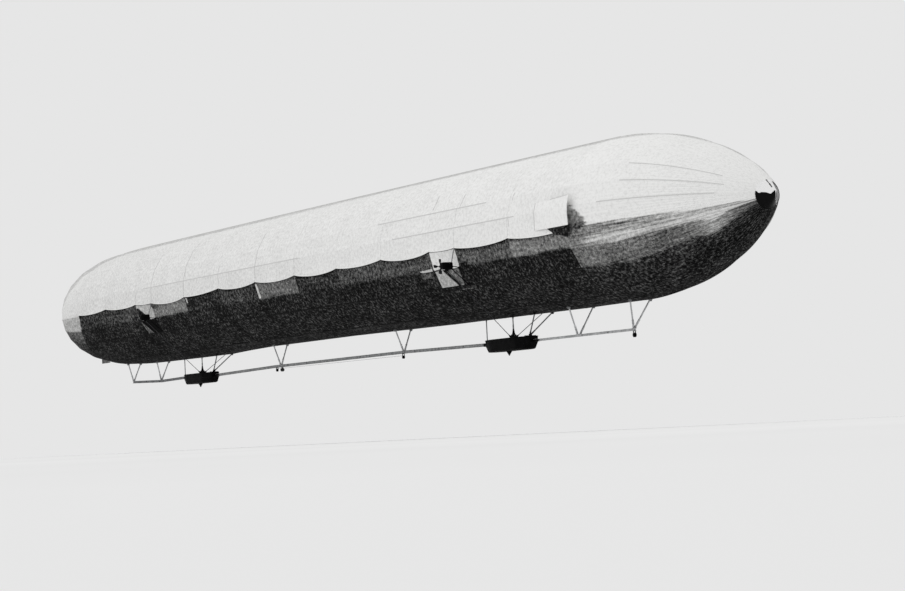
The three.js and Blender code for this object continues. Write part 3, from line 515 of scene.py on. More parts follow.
def make_lower_middle_cover(stations, station_shares, hem):
    """Dark cover of the middle run, from under the hem round the belly.
    It dips at each ring, where the dark strip of painted shade behind it shows as a black corner."""
    near_ring = np.exp(-(np.minimum(station_shares, 1 - station_shares) / 0.10) ** 2)
    start = hem - 0.4 + 1.1 * near_ring[:, None]
    low_angles, low_shares = subdivide(longerons_between(BAND_FOOT, 540 - BAND_FOOT), 2.5)
    band_steps = np.linspace(0, 1, 17)[:-1]
    band = start + (BAND_FOOT - start) * band_steps
    angle = np.hstack([band, grid(stations, low_angles)[1], 540 - band[:, ::-1]])
    band_sag = sag_of(station_shares, band_steps)
    lift = np.hstack([band_sag, sag_of(station_shares, low_shares), band_sag[:, ::-1]])
    x = np.broadcast_to(stations[:, None], angle.shape)
    side = starboard_angle(angle)
    blots = grain(x / 0.11, angle / 1.9, 21) + 0.6 * grain(x / 0.05, angle / 0.9, 22)
    marks, shades = zip(*BAND_SHADES)
    part = np.searchsorted(marks, x - 0.002, side="right") - 1
    band_shade = np.array(shades)[np.clip(part, 0, len(marks) - 1)]
    in_band = np.clip((BAND_FOOT - 0.3 - side + 0.7 * blots) / 1.6, 0, 1)
    shade = in_band * (band_shade - TARRED + 0.05 * blots)
    # Painted shadow under the hem, and slow random changes of the dye along the ship, darker towards the stern
    hem_shadow_depth, spread = (np.interp(x, [2.4, 3.4], ends) for ends in ([0.13, 0.26], [1.3, 2.3]))
    shade = shade + hem_shadow_depth * np.exp(-(np.maximum(side - hem, 0) / spread) ** 2) * (side < BAND_FOOT)
    astern = np.interp(x, [-4.8, -3.0, -2.0], [0.03, 0.02, 0.0])
    shade = shade + 0.02 * grain(x / 0.9, angle / 14, 23) + astern

    def in_bay(mid_x, mid_angle):
        beside = sum((low < mid_x) & (mid_x < high) for low, high in BAYS.values()) > 0
        return beside & (starboard_angle(mid_angle) < BAY_FOOT)

    lower = cloth("lower_cover_middle_cloth", x, angle, lift, [tarred_cotton], shade=shade, left_out=in_bay)
    settle(lower, "hull", ["lower_cover_middle"])


def make_middle_covers():
    """Covers of the straight middle run, with more stations beside the marked rings."""
    stations, _ = subdivide(MIDDLE_RINGS, 0.05)
    beside_rings = [ring + step for ring, _ in RING_MARKS for step in (-0.009, -0.004, 0.004, 0.009)]
    stations = np.sort(np.concatenate([stations, beside_rings]))
    stations = stations[stations >= MIDDLE_RINGS[0]]
    shares = bay_share(stations)[1]
    hem = hem_angle(stations)[:, None]
    make_upper_middle_cover(stations, shares, hem)
    make_lower_middle_cover(stations, shares, hem)


# Borders of the painted shade on the bow's pale side, as real station and angle
BOW_WHITE_EDGE = [(48, 186.6), (50.8, 187.6), (53.3, 187.2), (56.6, 187.8), (59.9, 189.4), (61.5, 190.9),
                  (62.8, 191.5), (63.9, 196.0)]
BOW_GREY_TOP = [(48, 202.3), (60, 203.5), (61.0, 209.5), (61.6, 208.5), (62.2, 203.8), (63.9, 201.5)]
BOW_DARK_TOP = [(48, 216.5), (53.2, 217.2), (55.4, 218.5), (57.8, 219), (59.4, 220.5), (60.7, 226),
                (61.4, 224.3), (62.6, 218.9), (63.9, 212.5)]
# Painted shade along the streaky zone and along the grey zone under it
BOW_STREAKY = [(48, 0.64), (49.3, 0.60), (50.5, 0.44), (52, 0.36), (58, 0.33), (61, 0.24), (62.5, 0.28),
               (63.9, 0.36)]
BOW_GREY = [(48, 0.64), (54, 0.63), (57.5, 0.69), (59.5, 0.62), (60.8, 0.40), (62, 0.52), (63, 0.72),
            (63.9, 0.80)]
# Holes for the gusset's lacing: real station and angle
GUSSET_HOLES = [(48.75, 172.6), (49.15, 176.0), (49.4, 177.8), (49.9, 181.6), (50.1, 186.2)]


def bow_fields(x, angle):
    """Shade and pleats of the bow's cover: pale above, then painted shade, streaky on the side, dark below."""
    real_x = x * REAL
    side = starboard_angle(angle)
    along_pleats = grain(real_x / 3.6, angle / 0.9, 3) + 0.6 * grain(real_x / 1.7, angle / 0.65, 4)
    blots = grain(real_x / 0.45, angle / 1.3, 5) + 0.6 * grain(real_x / 0.25, angle / 0.7, 6)
    ragged = side + 1.2 * along_pleats
    white_edge, grey_top, dark_top = (from_table(x, edge)
                                      for edge in (BOW_WHITE_EDGE, BOW_GREY_TOP, BOW_DARK_TOP))
    streaks = from_table(x, BOW_STREAKY) + 0.17 * along_pleats * np.interp(real_x, [48, 51], [0.5, 1.0])
    streaks = streaks + 0.07 * np.cos((side - white_edge) / np.maximum(grey_top - white_edge, 1) * math.pi)
    grey = from_table(x, BOW_GREY) + np.interp(real_x, [55, 59], [0.02, 0.10]) * along_pleats
    into_white = np.clip((ragged - white_edge) / 1.6, 0, 1)
    into_grey = np.clip(ragged - grey_top, 0, 1)
    fade = np.interp(real_x, [48, 53, 60], [0.6, 5.0, 6.0])
    into_dark = np.clip((ragged + 1.3 * blots - dark_top) / fade, 0, 1)
    shade = np.clip(streaks, 0, 1) * into_white
    shade = shade * (1 - into_grey) + grey * into_grey
    # Painted shade: the pale cloth below is shaded as dark as the tarred cloth
    tarred = np.interp(side - dark_top, [0, 10, 35], [0.885, 0.92, 0.98]) + 0.03 * blots
    shade = shade * (1 - into_dark) + tarred * into_dark
    # Gusset behind the flap's edge, drawn into teeth by the pleats, with a hole at the tip of each;
    # its grey deepens downwards with the flap's painted shadow
    here = np.asarray(angle) % 360
    reach = np.interp(here, [171.5, 173.2, 176, 181.7, 185.7, 189], [48.5, 49.0, 49.5, 50.3, 50.6, 50.3])
    reach = reach + 0.35 * grain(real_x / 9, here / 1.25, 8) + 0.12 * blots
    inside = np.clip((reach - real_x) / 0.25, 0, 1) * (here > 171.5) * (here < 188.8)
    gusset_and_flap_shadow = np.interp(here, [171.5, 174, 178, 184.5, 185.8, 188.8], [0.14, 0.30, 0.46, 0.58, 0.80, 0.74])
    shade = np.maximum(shade, inside * np.clip(gusset_and_flap_shadow + 0.07 * blots, 0, 1))
    for hole_x, hole_angle in GUSSET_HOLES:
        near = np.exp(-((real_x - hole_x) / 0.22) ** 2 - ((here - hole_angle) / 0.55) ** 2)
        shade = np.maximum(shade, 0.75 * near)
    # Strength of the streaks of painted light and shade along the pleats, where the side turns from the light
    streaky = np.interp(side, [150, 184, 187, 203, 206, 218, 226, 270],
                        [0.02, 0.05, 1.0, 1.3, 0.5, 0.5, 0.1, 0.0])
    streaky = streaky * np.interp(real_x, [48, 50, 60, 63.8], [0.5, 1.0, 1.2, 1.2])
    return np.maximum(shade, crown_shade(x, angle)), streaky


def pleat_lift(x, angle):
    """Cloth gathered towards the nose: shallow pleats that deepen as the girth shrinks."""
    depth = np.interp(x, [4.8, 5.0, 6.1, 6.38], [0.0, 0.0006, 0.0020, 0.0012])
    waves = 0.55 * np.sin(np.radians(angle * 144 + 9 * np.sin(3.1 * x)))
    waves = waves + 0.30 * np.sin(np.radians(angle * 76 + 40))
    waves = waves + 0.15 * np.sin(np.radians(angle * 233 + 110 * x))
    return depth * waves


def stern_fields(x, angle):
    """Shade of the stern's cover: the dark cover laps over it below, and painted shade greys its side to the
    keel.
    """
    real_x = x * REAL
    side = starboard_angle(angle)
    blots = grain(real_x / 0.9, angle / 1.6, 11) + 0.6 * grain(real_x / 0.45, angle / 0.8, 12)
    shade = np.interp(side, [150, 175, 186.5, 188, 195, 202.3, 203.4, 215, 218, 228, 236],
                      [0.075, 0.09, 0.12, 0.28, 0.35, 0.31, 0.70, 0.78, 0.85, 0.92, 0.96])
    shade = shade + np.interp(side, [186.5, 190, 236], [0.0, 0.07, 0.02]) * blots
    lap = np.interp(side, [187, 204, 223.7, 241.7, 270], [-47.8, -48.6, -49.9, -50.9, -51.6]) + 0.12 * blots
    shade = np.where((real_x > lap) & (side > SIDE_LONGERON), np.where(side < BAND_FOOT, 0.87, 0.98), shade)
    streaky = np.interp(side, [180, 190, 230, 240], [0.0, 0.25, 0.25, 0.0])
    return np.maximum(shade, crown_shade(x, angle)), streaky


# Half, end, rings, slot, shade and pleats, steps along and round, lift of the edges
END_COVERS = [
    ("upper", "bow", BOW_RINGS, "pale_cover", bow_fields, 0.025, 0.625, 0.001),
    ("lower", "bow", BOW_RINGS, "dark_cover", bow_fields, 0.025, 0.625, 0.0),
    ("upper", "stern", STERN_RINGS, "pale_cover", stern_fields, 0.03, 1.875, HEM_STAND_OFF),
    ("lower", "stern", STERN_RINGS, "grey_cover", stern_fields, 0.0125, 1.875, 0.0),
]


def make_end_covers():
    """Covers of bow and stern, drawn in towards the caps."""
    for half, end, rings, slot, fields, x_step, angle_step, edge_lift in END_COVERS:
        low, high = HALVES[half]
        stations, station_shares = subdivide(rings, x_step)
        angles, angle_shares = subdivide(longerons_between(low, high), angle_step)
        x, angle = grid(stations, angles)
        near_edge = np.clip(1 - np.minimum(angle - low, high - angle), 0, 1)
        lift = sag_of(station_shares, angle_shares) * 0.6 + pleat_lift(x, angle) + edge_lift * near_edge
        shade, streaky = fields(x, angle)
        piece = cloth(f"{half}_cover_{end}_cloth", x, angle, lift, [pale_cotton], shade=shade, pleats=streaky)
        settle(piece, "hull", [f"{half}_cover_{end}"])


def make_bay_panels():
    """Light panels behind the propellers; below them the cloth is dark and open round the drive shaft."""
    for bay, ends in BAYS.items():
        for side, sign in SIDES.items():
            stations, station_shares = subdivide(ends, 0.025)
            angles, angle_shares = subdivide([PANEL_TOP, BAND_FOOT, BAY_FOOT], 1.25)
            lift = sag_of(station_shares, angle_shares) - 0.004 * (angles < SIDE_LONGERON)
            x, angle = grid(stations, angles if sign < 0 else 540 - angles)
            panel = cloth(f"{bay}_{side}_bay_cloth", x, angle, lift, [pale_cotton, tarred_cotton],
                          shade=0.26 if bay == "aft" else 0.06,
                          finish_of=lambda mid_angle: (starboard_angle(mid_angle) > BAND_FOOT).astype(int))
            settle(panel, "hull", [f"{bay}_{side}_bay_panel"])


# Patches: name, four corners as real metre and angle, round from the upper aft one, shade, on both sides
PATCHES = [
    ("fore_shaft_patch", [(28.15, 202.8), (29.3, 202.8), (30.5, 216.8), (27.9, 216.8)], 0.30, True),
    ("fore_hatch_patch", [(29.9, 203.2), (31.8, 203.2), (31.4, 217.0), (30.9, 217.0)], 0.66, True),
    ("fore_wedge_patch", [(25.7, 200.9), (27.8, 200.2), (27.8, 202.3), (26.2, 202.3)], 0.24, True),
    # The fore shadow patch is painted shadow below the fore bay, laid as a darker cloth
    ("fore_shadow_patch", [(25.9, 203.0), (27.7, 203.0), (27.5, 207.6), (25.7, 207.6)], 0.76, True),
    ("fore_gap_patch", [(32.05, 199.5), (33.3, 199.5), (33.0, 216.0), (32.05, 216.0)], 0.97, True),
    ("fore_tick_patch", [(30.5, 220.4), (32.2, 220.4), (32.2, 221.3), (30.6, 221.3)], 0.66, False),
    ("ring_strip_patch", [(-4.07, 188.0), (-3.70, 188.0), (-3.58, 200.7), (-3.95, 200.7)], 0.22, False),
    ("ring_tick_patch", [(-19.72, 188.6), (-19.48, 188.6), (-19.40, 193.6), (-19.64, 193.6)], 0.24, False),
    ("aft_shaft_patch", [(-31.85, 204.0), (-31.6, 204.0), (-30.2, 216.8), (-31.5, 216.8)], 0.74, True),
    ("aft_gusset_patch", [(-31.95, 190.5), (-31.6, 190.0), (-29.2, 202.3), (-31.9, 202.3)], 0.97, True),
    ("aft_hatch_patch", [(-28.5, 188.3), (-26.3, 188.9), (-26.6, 192.6), (-27.9, 193.6)], 0.74, True),
]


def make_patches():
    """Pieces of other cotton sewn on the dark cover, and one of painted shadow."""
    share = np.linspace(0, 1, 9)
    along, across = share[:, None, None], share[:, None]
    for name, corners, shade, both in PATCHES:
        aft_top, fore_top, fore_foot, aft_foot = np.array(corners)
        places = ((aft_top * (1 - along) + fore_top * along) * (1 - across)
                  + (aft_foot * (1 - along) + fore_foot * along) * across)
        x = places[..., 0] / REAL
        for side, turn in list(zip(SIDES, MIRRORS))[:1 + both]:
            angle = turn(places[..., 1])
            piece = cloth(f"{side}_{name}", x, angle, 0.0016, [pale_cotton], shade, thickness=PATCH_THICKNESS)
            settle(piece, "hull")


def axes(axis):
    """A direction, and two more that stand square to it and to each other."""
    axis = Vector(axis).normalized()
    across = axis.orthogonal().normalized()
    return axis, across, axis.cross(across)


def circle(centre, across, other, radius, count, first=0.0):
    """Points evenly round a circle in two directions; first is the share of a step before the first one."""
    turns = [2 * math.pi * (k + first) / count for k in range(count)]
    return [centre + (across * math.cos(turn) + other * math.sin(turn)) * radius for turn in turns]


def round_edges(piece, width):
    """Takes the sharpness off a piece's edges."""
    edge = piece.modifiers.new("rounded edges", "BEVEL")
    edge.width = width
    edge.segments = 2
    edge.limit_method = "ANGLE"
    edge.angle_limit = math.radians(40)


class Piece:
    """Points and faces of one piece while it is being made, in metres."""

    def __init__(self):
        self.points, self.faces, self.finishes = [], [], []

    def loft(self, rings, finish=0, capped=True):
        """Joins rings of equally many points by a skin, and closes its two ends."""
        start, count = len(self.points), len(rings[0])
        for ring in rings:
            self.points.extend(ring)
        for row in range(len(rings) - 1):
            for k in range(count):
                a = start + row * count + k
                b = start + row * count + (k + 1) % count
                self.faces.append((a, b, b + count, a + count))
        if capped:
            last = len(self.points) - count
            self.faces.append(tuple(range(start + count - 1, start - 1, -1)))
            self.faces.append(tuple(range(last, last + count)))
        self.finishes += [finish] * (len(self.faces) - len(self.finishes))

    def lathe(self, origin, axis, profile, sides=16, finish=0):
        """A turned part: pairs of distance along the axis and radius."""
        axis, across, other = axes(axis)
        self.loft([circle(Vector(origin) + axis * along, across, other, max(radius, 1e-5), sides)
                   for along, radius in profile], finish)

    def rod(self, start, end, radius, sides=12, finish=0):
        """A straight round bar."""
        reach = Vector(end) - Vector(start)
        self.lathe(start, reach, [(0, radius), (reach.length, radius)], sides, finish)

    def tube(self, path, radius, sides=8, closed=False):
        """A round bar along a path of points."""
        path = [Vector(point) for point in path]
        rings = []
        across = None
        for k, point in enumerate(path):
            before = path[k - 1] if k or closed else point
            after = path[(k + 1) % len(path)] if k + 1 < len(path) or closed else point
            along = (after - before).normalized()
            across = along.orthogonal() if across is None else across - along * across.dot(along)
            across.normalize()
            rings.append(circle(point, across, along.cross(across), radius, sides))
        if closed:
            rings.append(rings[0])
        self.loft(rings, capped=not closed)

    def slab(self, low, high, finish=0, turn=None, about=(0, 0, 0)):
        """A box between two corners, turned about a point where asked."""
        rings = [[Vector((x, y, z)) for x, y in ((low[0], low[1]), (high[0], low[1]), (high[0], high[1]),
                                                 (low[0], high[1]))] for z in (low[2], high[2])]
        if turn is not None:
            rings = [[turn @ (point - Vector(about)) + Vector(about) for point in ring] for ring in rings]
        self.loft(rings, finish)

    def plate(self, x, y, half_x, half_y, low, high, finish=0):
        """A box round a place, by half its length and half its breadth, between two heights."""
        self.slab((x - half_x, y - half_y, low), (x + half_x, y + half_y, high), finish)

    def rivets(self, places, outward, radius, finish=0):
        """Round heads at some places. Outward is one direction for all of them, or one for each."""
        head = [(-0.3 * radius, radius), (0.15 * radius, radius), (0.6 * radius, 0.45 * radius)]
        for place, normal in zip(places, np.broadcast_to(outward, (len(places), 3))):
            self.lathe(place, normal, head, 6, finish)

    def bolts(self, centre, axis, radius, count, bolt, finish=0):
        """Hexagon heads evenly round a circle."""
        axis, across, other = axes(axis)
        head = [(-0.0002, bolt), (bolt * 0.9, bolt), (bolt * 1.1, bolt * 0.7)]
        for place in circle(Vector(centre), across, other, radius, count, 0.5):
            self.lathe(place, axis, head, 6, finish)

    def make(self, name, materials, slot, replaced=(), body="hull", sharp_deg=35.0, bevel=0.0):
        """Turns the points and faces into a piece of the scene."""
        piece = object_from(name, self.points, self.faces, materials, self.finishes, sharp_deg)
        if bevel:
            round_edges(piece, bevel)
        return settle(piece, body, replaced)


# Depth that a tape reaches into the cloth under it
TAPE_ROOT = 0.002


def ribbon(piece, x, angle, width, height=0.0011):
    """A flat tape sewn on the hull along a path of stations and angles."""
    x, angle = np.broadcast_arrays(x, angle)
    centre = skin(x, angle)
    along = np.gradient(centre, axis=0)
    along /= np.linalg.norm(along, axis=1, keepdims=True)
    facet = np.radians(np.round((angle - 1e-6) / FACET_DEG) * FACET_DEG)
    outward = np.stack([np.zeros_like(facet), np.cos(facet), np.sin(facet)], axis=-1)
    across = np.cross(along, outward)
    piece.loft([[point + side * (out * width / 2) + normal * rise
                 for out, rise in ((-1, -TAPE_ROOT), (1, -TAPE_ROOT), (1, height), (-1, height))]
                for point, side, normal in zip(centre, across, outward)])


# Seam tapes that show on the pale cover: longeron, and from and to in real metres
LONGERON_TAPES = [(172.5, -30.0, 5.0), (172.5, 22.0, 41.0), (157.5, 19.0, 36.5), (142.5, 54.0, 61.7),
                  (157.5, 53.8, 62.0), (172.5, 51.8, 61.5)]
# Ring tapes: real station, and from and to in degrees
RING_TAPES = [(-28.0, 137, 187), (-20.0, 140, 182), (-4.0, 141, 181), (28.0, 142, 154), (32.4, 146, 158),
              (40.4, 154, 160), (40.2, 172, 179), (-12.0, 165, 186), (-32.0, 172, 187)]


def make_tapes():
    """Tapes over the seams, a dark strip of painted shade beside the hem, and the lacing on the crown."""
    pale, dark, strip, ridge = Piece(), Piece(), Piece(), Piece()
    stations, _ = subdivide(MIDDLE_RINGS, 0.025)
    whole = np.linspace(MIDDLE_RINGS[0], MIDDLE_RINGS[-1], 97)
    for turn in MIRRORS:
        for angle, low, high in LONGERON_TAPES:
            x = np.linspace(low, high, int((high - low) * 2) + 2) / REAL
            ribbon(pale, x, turn(angle), 0.007)
        for station, low, high in RING_TAPES:
            ribbon(pale, station / REAL, np.linspace(turn(low), turn(high), int(high - low) + 2), 0.006)
        # Dark lacing tape just under the hem, its darkness partly painted shadow of the hem
        ribbon(dark, stations, turn(hem_angle(stations) + 0.25), 0.006)
        for angle in (BAY_FOOT, BAY_FOOT + 2 * FACET_DEG):
            ribbon(dark, whole, turn(angle), 0.009)
        for station in MIDDLE_RINGS:
            beside_bay = any(station in bay for bay in BAYS.values())
            start = BAY_FOOT if beside_bay else BAND_FOOT
            ribbon(dark, station, np.linspace(turn(start), turn(269.9), 60), 0.011)
        # Dark strip in the gap where hem and lower cover part: painted shade inside the hull
        section = ((184.0, -0.008), (191.5, -0.008), (191.5, -0.011), (184.0, -0.011))
        strip.loft([[skin(x, turn(angle), depth) for angle, depth in section]
                    for x in np.linspace(-4.79, 4.79, 161)])
    # Laced ridges beside the crown, where the two halves of the pale cover meet
    for angle in (90 + FACET_DEG / 2, 90 - FACET_DEG / 2):
        ridge.tube(skin(np.linspace(-6.1, MIDDLE_RINGS[-1], 110), angle), 0.003, 6)
    pale.make("pale_seam_tapes", [pale_tape], "pale_cover")
    ridge.make("crown_lacing", [pale_tape], "pale_cover")
    dark.make("dark_seam_tapes", [dark_tape], "dark_cover")
    strip.make("side_gap_shade_strip", [dark_tape], "dark_cover")


def make_hem_rope():
    """Rope sewn into the scalloped hem."""
    rope = Piece()
    stations, _ = subdivide(MIDDLE_RINGS, 0.025)
    for turn in MIRRORS:
        rope.tube(skin(stations, turn(hem_angle(stations)), HEM_STAND_OFF - 0.0005), 0.0024, 6)
    rope.make("hem_rope", [pale_cotton], "pale_cover")


# Painted shadow under the flap, laid as a dark cloth:
# its ends, the angle of its top, and its lower edge as real station and angle
FLAP_SHADOW_ENDS = (4.57, 4.86)
FLAP_SHADOW_TOP = 185.6
FLAP_SHADOW_FOOT = [(45.7, 185.8), (46.1, 187.6), (46.6, 190.6), (47.4, 191.8), (48.0, 193.2), (48.3, 194.4),
              (48.6, 190.5)]
# Flap of the cover: its sewn and its lifted edge, the seam between them, and its upper and lower angle
FLAP = {"aft": 4.39, "fore": 4.90, "seam": 4.60, "top": 166.0, "foot": 185.5}


def flap_lift(share):
    """How far the flap stands off the hull, from its sewn edge to its lifted one."""
    return 0.004 + 0.040 * share ** 1.15


def make_flap():
    """Loose flap of the cover: a double panel, sewn down aft and lifted by its fore edge."""
    aft, length = FLAP["aft"], FLAP["fore"] - FLAP["aft"]
    forward, down = np.linspace(0, 1, 41)[:, None], np.linspace(0, 1, 25)
    x, angle = grid(aft + length * forward[:, 0], FLAP["top"] + (FLAP["foot"] - FLAP["top"]) * down)
    flutter = 0.0016 * np.sin(2 * math.pi * (1.5 * down + 0.35 * forward)) * forward
    seam = -0.0025 * np.exp(-((x - FLAP["seam"]) / 0.006) ** 2)
    edge = 0.0015 * np.exp(-((forward - 1) / 0.04) ** 2)
    flap = cloth("cover_flap_cloth", x, angle, flap_lift(forward) + flutter + seam + edge, [pale_cotton],
                 sharp_deg=60)
    settle(flap, "hull", ["cover_flap"])
    seams = Piece()
    ribbon(seams, aft + 0.002, np.linspace(FLAP["top"], FLAP["foot"], 12), 0.006, 0.006)
    x = np.linspace(4.62, 4.89, 16)
    seams.tube(skin(x, FLAP["top"], flap_lift((x - aft) / length)), 0.0028, 6)
    seams.make("flap_seams", [pale_tape], "pale_cover")
    # Painted shadow under the flap's lower fore corner, laid as a dark cloth
    x = np.linspace(*FLAP_SHADOW_ENDS, 30)[:, None]
    foot = from_table(x, FLAP_SHADOW_FOOT)
    x, angle = np.broadcast_arrays(x, FLAP_SHADOW_TOP + np.linspace(0, 1, 9) * (foot - FLAP_SHADOW_TOP))
    flap_shadow_cloth = cloth("flap_shadow_patch", x, angle, 0.0085, [tarred_cotton], thickness=PATCH_THICKNESS)
    settle(flap_shadow_cloth, "hull")


# The picture's right on the nose cap, as its parts along the ship and across it
CAP_RIGHT_X = 0.595
CAP_RIGHT_Y = 0.80
# Its painted reflections in shares of its rim: how high black reaches from left to right, where grey starts
CAP_REFLECTION_BLACK_EDGE = [(-1.0, 0.26), (-0.75, 0.10), (-0.2, 0.10), (0.3, -0.04), (0.63, 0.20)]
CAP_REFLECTION_GREY_EDGE = [(0.0, 0.72), (0.2, 0.80), (0.9, 0.45)]
CAP_BLUNTNESS = 0.87
CAP_SIDES = 96
CAP_STEPS = 30


def make_end_cap(name, node, rim, tip, direction):
    """Spun cup over the gathered end of the cover, with a beaded rim and a ring of rivets."""
    x = rim + (tip - rim) * np.sin(np.linspace(0, math.pi / 2, CAP_STEPS + 1))
    radius = hull_radius(x)
    height = float(axis_height(rim))

    def ring(station, reach, count=CAP_SIDES):
        turns = np.linspace(0, 2 * math.pi, count, endpoint=False)
        return [(station, reach * math.cos(t), height + reach * math.sin(t)) for t in turns]

    cap = Piece()
    profile = [(rim, radius[0] - 0.003), (rim - direction * 0.004, radius[0] - 0.003),
               (rim - direction * 0.004, radius[0] + 0.0012), (rim, radius[0] + 0.0012)]
    profile += list(zip(x[1:-1], radius[1:-1] + 0.0008)) + [(tip, 1e-5)]
    cap.loft([ring(rim + (station - rim) * CAP_BLUNTNESS, reach) for station, reach in profile])
    cap.tube(ring(rim, radius[0] + 0.001), 0.0026, 8, closed=True)
    seam = rim + direction * 0.012
    places = ring(seam, float(hull_radius(seam)) + 0.0008, 48)
    outward = [(0.5 * direction, y, z) for _, y, z in ring(0, 1, 48)]
    cap.rivets(places, np.array(outward) - (0, 0, height), 0.0022)
    piece = cap.make(name, [cap_sheet], "end_cap", [node], sharp_deg=40)
    # Painted reflections of dark surroundings: black below, grey to one side and in an arc
    points = np.array([vertex.co for vertex in piece.data.vertices])
    up = (points[:, 2] - height) / radius[0]
    width = CAP_RIGHT_Y * radius[0]
    right = (CAP_RIGHT_X * np.abs(points[:, 0] - rim) + CAP_RIGHT_Y * points[:, 1]) / width
    black = (up < np.interp(right, *zip(*CAP_REFLECTION_BLACK_EDGE))) & (right < 0.70)
    grey = right > np.interp(up, *zip(*CAP_REFLECTION_GREY_EDGE))
    arc = (np.abs(right - np.interp(up, [0.45, 1.0], [0.42, 0.0])) < 0.07) & (up > 0.42)
    paint(piece.data, "shade", np.where(black, 1.0, np.where(grey | arc, 0.52, 0.05)))


# The aft length is greasy and the fore one bright
BEAM_METALS = {"aft": splice_metal, "middle": girder_metal, "fore": tube_metal}


def beam_height(name, x):
    """Height of a beam's middle at a station."""
    return float(np.interp(x, *zip(*BEAMS[name]["line"])))


def beam_bottom(name, x):
    """Height of a beam's underside at a station."""
    return beam_height(name, x) - BEAMS[name]["depth"] / 2


def beam_seat(name, x):
    """Height at which a level shoe lies on the beam."""
    ends = (beam_height(name, x - STRUT_SHOE_HALF), beam_height(name, x + STRUT_SHOE_HALF))
    return max(ends) + BEAMS[name]["depth"] / 2 + 0.0003


def on_hull(x, y):
    """Height of the hull's underside at a station and a distance to the side."""
    angle = math.degrees(math.atan2(-math.sqrt(max(HULL_RADIUS ** 2 - y ** 2, 0)), y)) % 360
    for _ in range(4):
        point = skin(x, angle)
        angle = math.degrees(math.atan2(point[2] - float(axis_height(x)), y)) % 360
    return float(skin(x, angle)[2])


def make_struts():
    """V struts: tubes with pressed ends, riveted sleeves at the foot and a cuff plate on the hull."""
    for name, (beam, x, lean, head_y, foot_y) in STRUTS.items():
        piece = Piece()
        seat = beam_seat(beam, x)
        shoe = foot_y + 0.008
        piece.plate(x, 0, STRUT_SHOE_HALF, shoe, seat, seat + 0.003)
        head_x = x + lean
        for sign in SIDES.values():
            y = sign * head_y
            head_z = on_hull(head_x, y)
            low = Vector((x, sign * foot_y, seat + 0.002))
            reach = Vector((head_x, y, head_z + 0.002)) - low
            along, length = reach.normalized(), reach.length
            piece.lathe(low, along, [(0, 0.0050), (0.004, 0.0075), (length * 0.28, 0.0075),
                                     (length * 0.30, 0.0058), (length - 0.014, 0.0058),
                                     (length - 0.004, 0.0042), (length, 0.0042)])
            for share in (0.06, 0.17, 0.27):
                piece.lathe(low + reach * share, along,
                            [(-0.0015, 0.0075), (-0.0015, 0.0086), (0.0015, 0.0086), (0.0015, 0.0075)])
            pin = low + along * (length - 0.008)
            piece.rod(pin - Vector((0.008, 0, 0)), pin + Vector((0.008, 0, 0)), 0.0022, sides=8)
            for edge in (-0.006, 0.006):
                piece.plate(head_x + edge, y, 0.001, 0.010, head_z - 0.014, head_z + 0.003, 1)
            piece.plate(head_x, y, 0.013, 0.012, head_z - 0.003, head_z + 0.001, 1)
        places = [(x + dx, dy, seat + 0.003) for dx in (-0.0105, 0.0105)
                  for dy in (0.0025 - shoe, shoe - 0.0025)]
        piece.rivets(places, (0, 0, 1), 0.0016)
        piece.make(f"{name}_strut_pair", [tube_metal, girder_metal], "frame_tube", [f"keel_struts_{name}"],
                   bevel=0.0003)


def dress(node, material):
    """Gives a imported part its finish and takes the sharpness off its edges."""
    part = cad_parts[node]
    part.data.materials.clear()
    part.data.materials.append(material)
    weld = part.modifiers.new("joined corners", "WELD")
    weld.merge_threshold = 1e-6
    round_edges(part, 0.0006)


def make_beam_joint(piece, name, at, direction):
    """Sheet that laps the beam's end at the gondola, black like the gondola itself, as painted shade."""
    depth, face = BEAMS[name]["depth"], BEAM_WIDTH / 2 + 0.0008
    aft, fore = sorted((at, at + direction * 0.085))
    low = beam_height(name, at) - depth / 2
    for sign in SIDES.values():
        inner, outer = sorted((sign * BEAM_WIDTH / 2, sign * face))
        piece.slab((aft, inner, low - 0.0008), (fore, outer, low + depth - 0.002), 2)
        places = [(aft + dx, sign * face, low + dz) for dx in (0.010, 0.030, 0.055, 0.075)
                  for dz in (0.003, depth - 0.005)]
        piece.rivets(places, (0, sign, 0), 0.0010, 2)
    piece.slab((aft, -BEAM_WIDTH / 2, low - 0.0008), (fore, BEAM_WIDTH / 2, low), 2)


def make_beams():
    """Keel beams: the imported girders, with riveted splices every four metres of the ship and ribs between."""
    for name, beam in BEAMS.items():
        dress(f"keel_beam_{name}", BEAM_METALS[name])
        piece = Piece()
        aft, fore = beam["line"][0][0], beam["line"][-1][0]
        count = round((fore - aft) / 0.4)
        pitch = (fore - aft) / count
        web = beam["depth"] / 2 - 0.0042
        for k in range(count):
            splice, rib = aft + pitch * (k + 0.5), aft + pitch * (k + 0.97)
            middle, rib_z = beam_height(name, splice), beam_height(name, rib)
            for sign in SIDES.values():
                y = sign * 0.003
                piece.slab((splice - 0.016, min(0, y), middle - web),
                           (splice + 0.016, max(0, y), middle + web), 1)
                places = [(splice + dx, y, middle + dz) for dx in (-0.012, -0.004, 0.004, 0.012)
                          for dz in (-0.6 * web, 0.6 * web)]
                piece.rivets(places, (0, sign, 0), 0.0011, 1)
                piece.slab((rib - 0.0008, min(0, 2.3 * y), rib_z - web),
                           (rib + 0.0008, max(0, 2.3 * y), rib_z + web))
            # The trim weight slides under the middle beam, so the rivets there are flush and don't show
            if name != "middle":
                places = [(splice + dx, dy, beam_bottom(name, splice)) for dx in (-0.012, 0.0, 0.012)
                          for dy in (-0.005, 0.005)]
                piece.rivets(places, (0, 0, -1), 0.0012)
        for at, direction in BEAM_JOINTS[name]:
            make_beam_joint(piece, name, at, direction)
        piece.make(f"{name}_beam_splices", [tube_metal, BEAM_METALS[name], shade_black_sheet], "frame_tube")


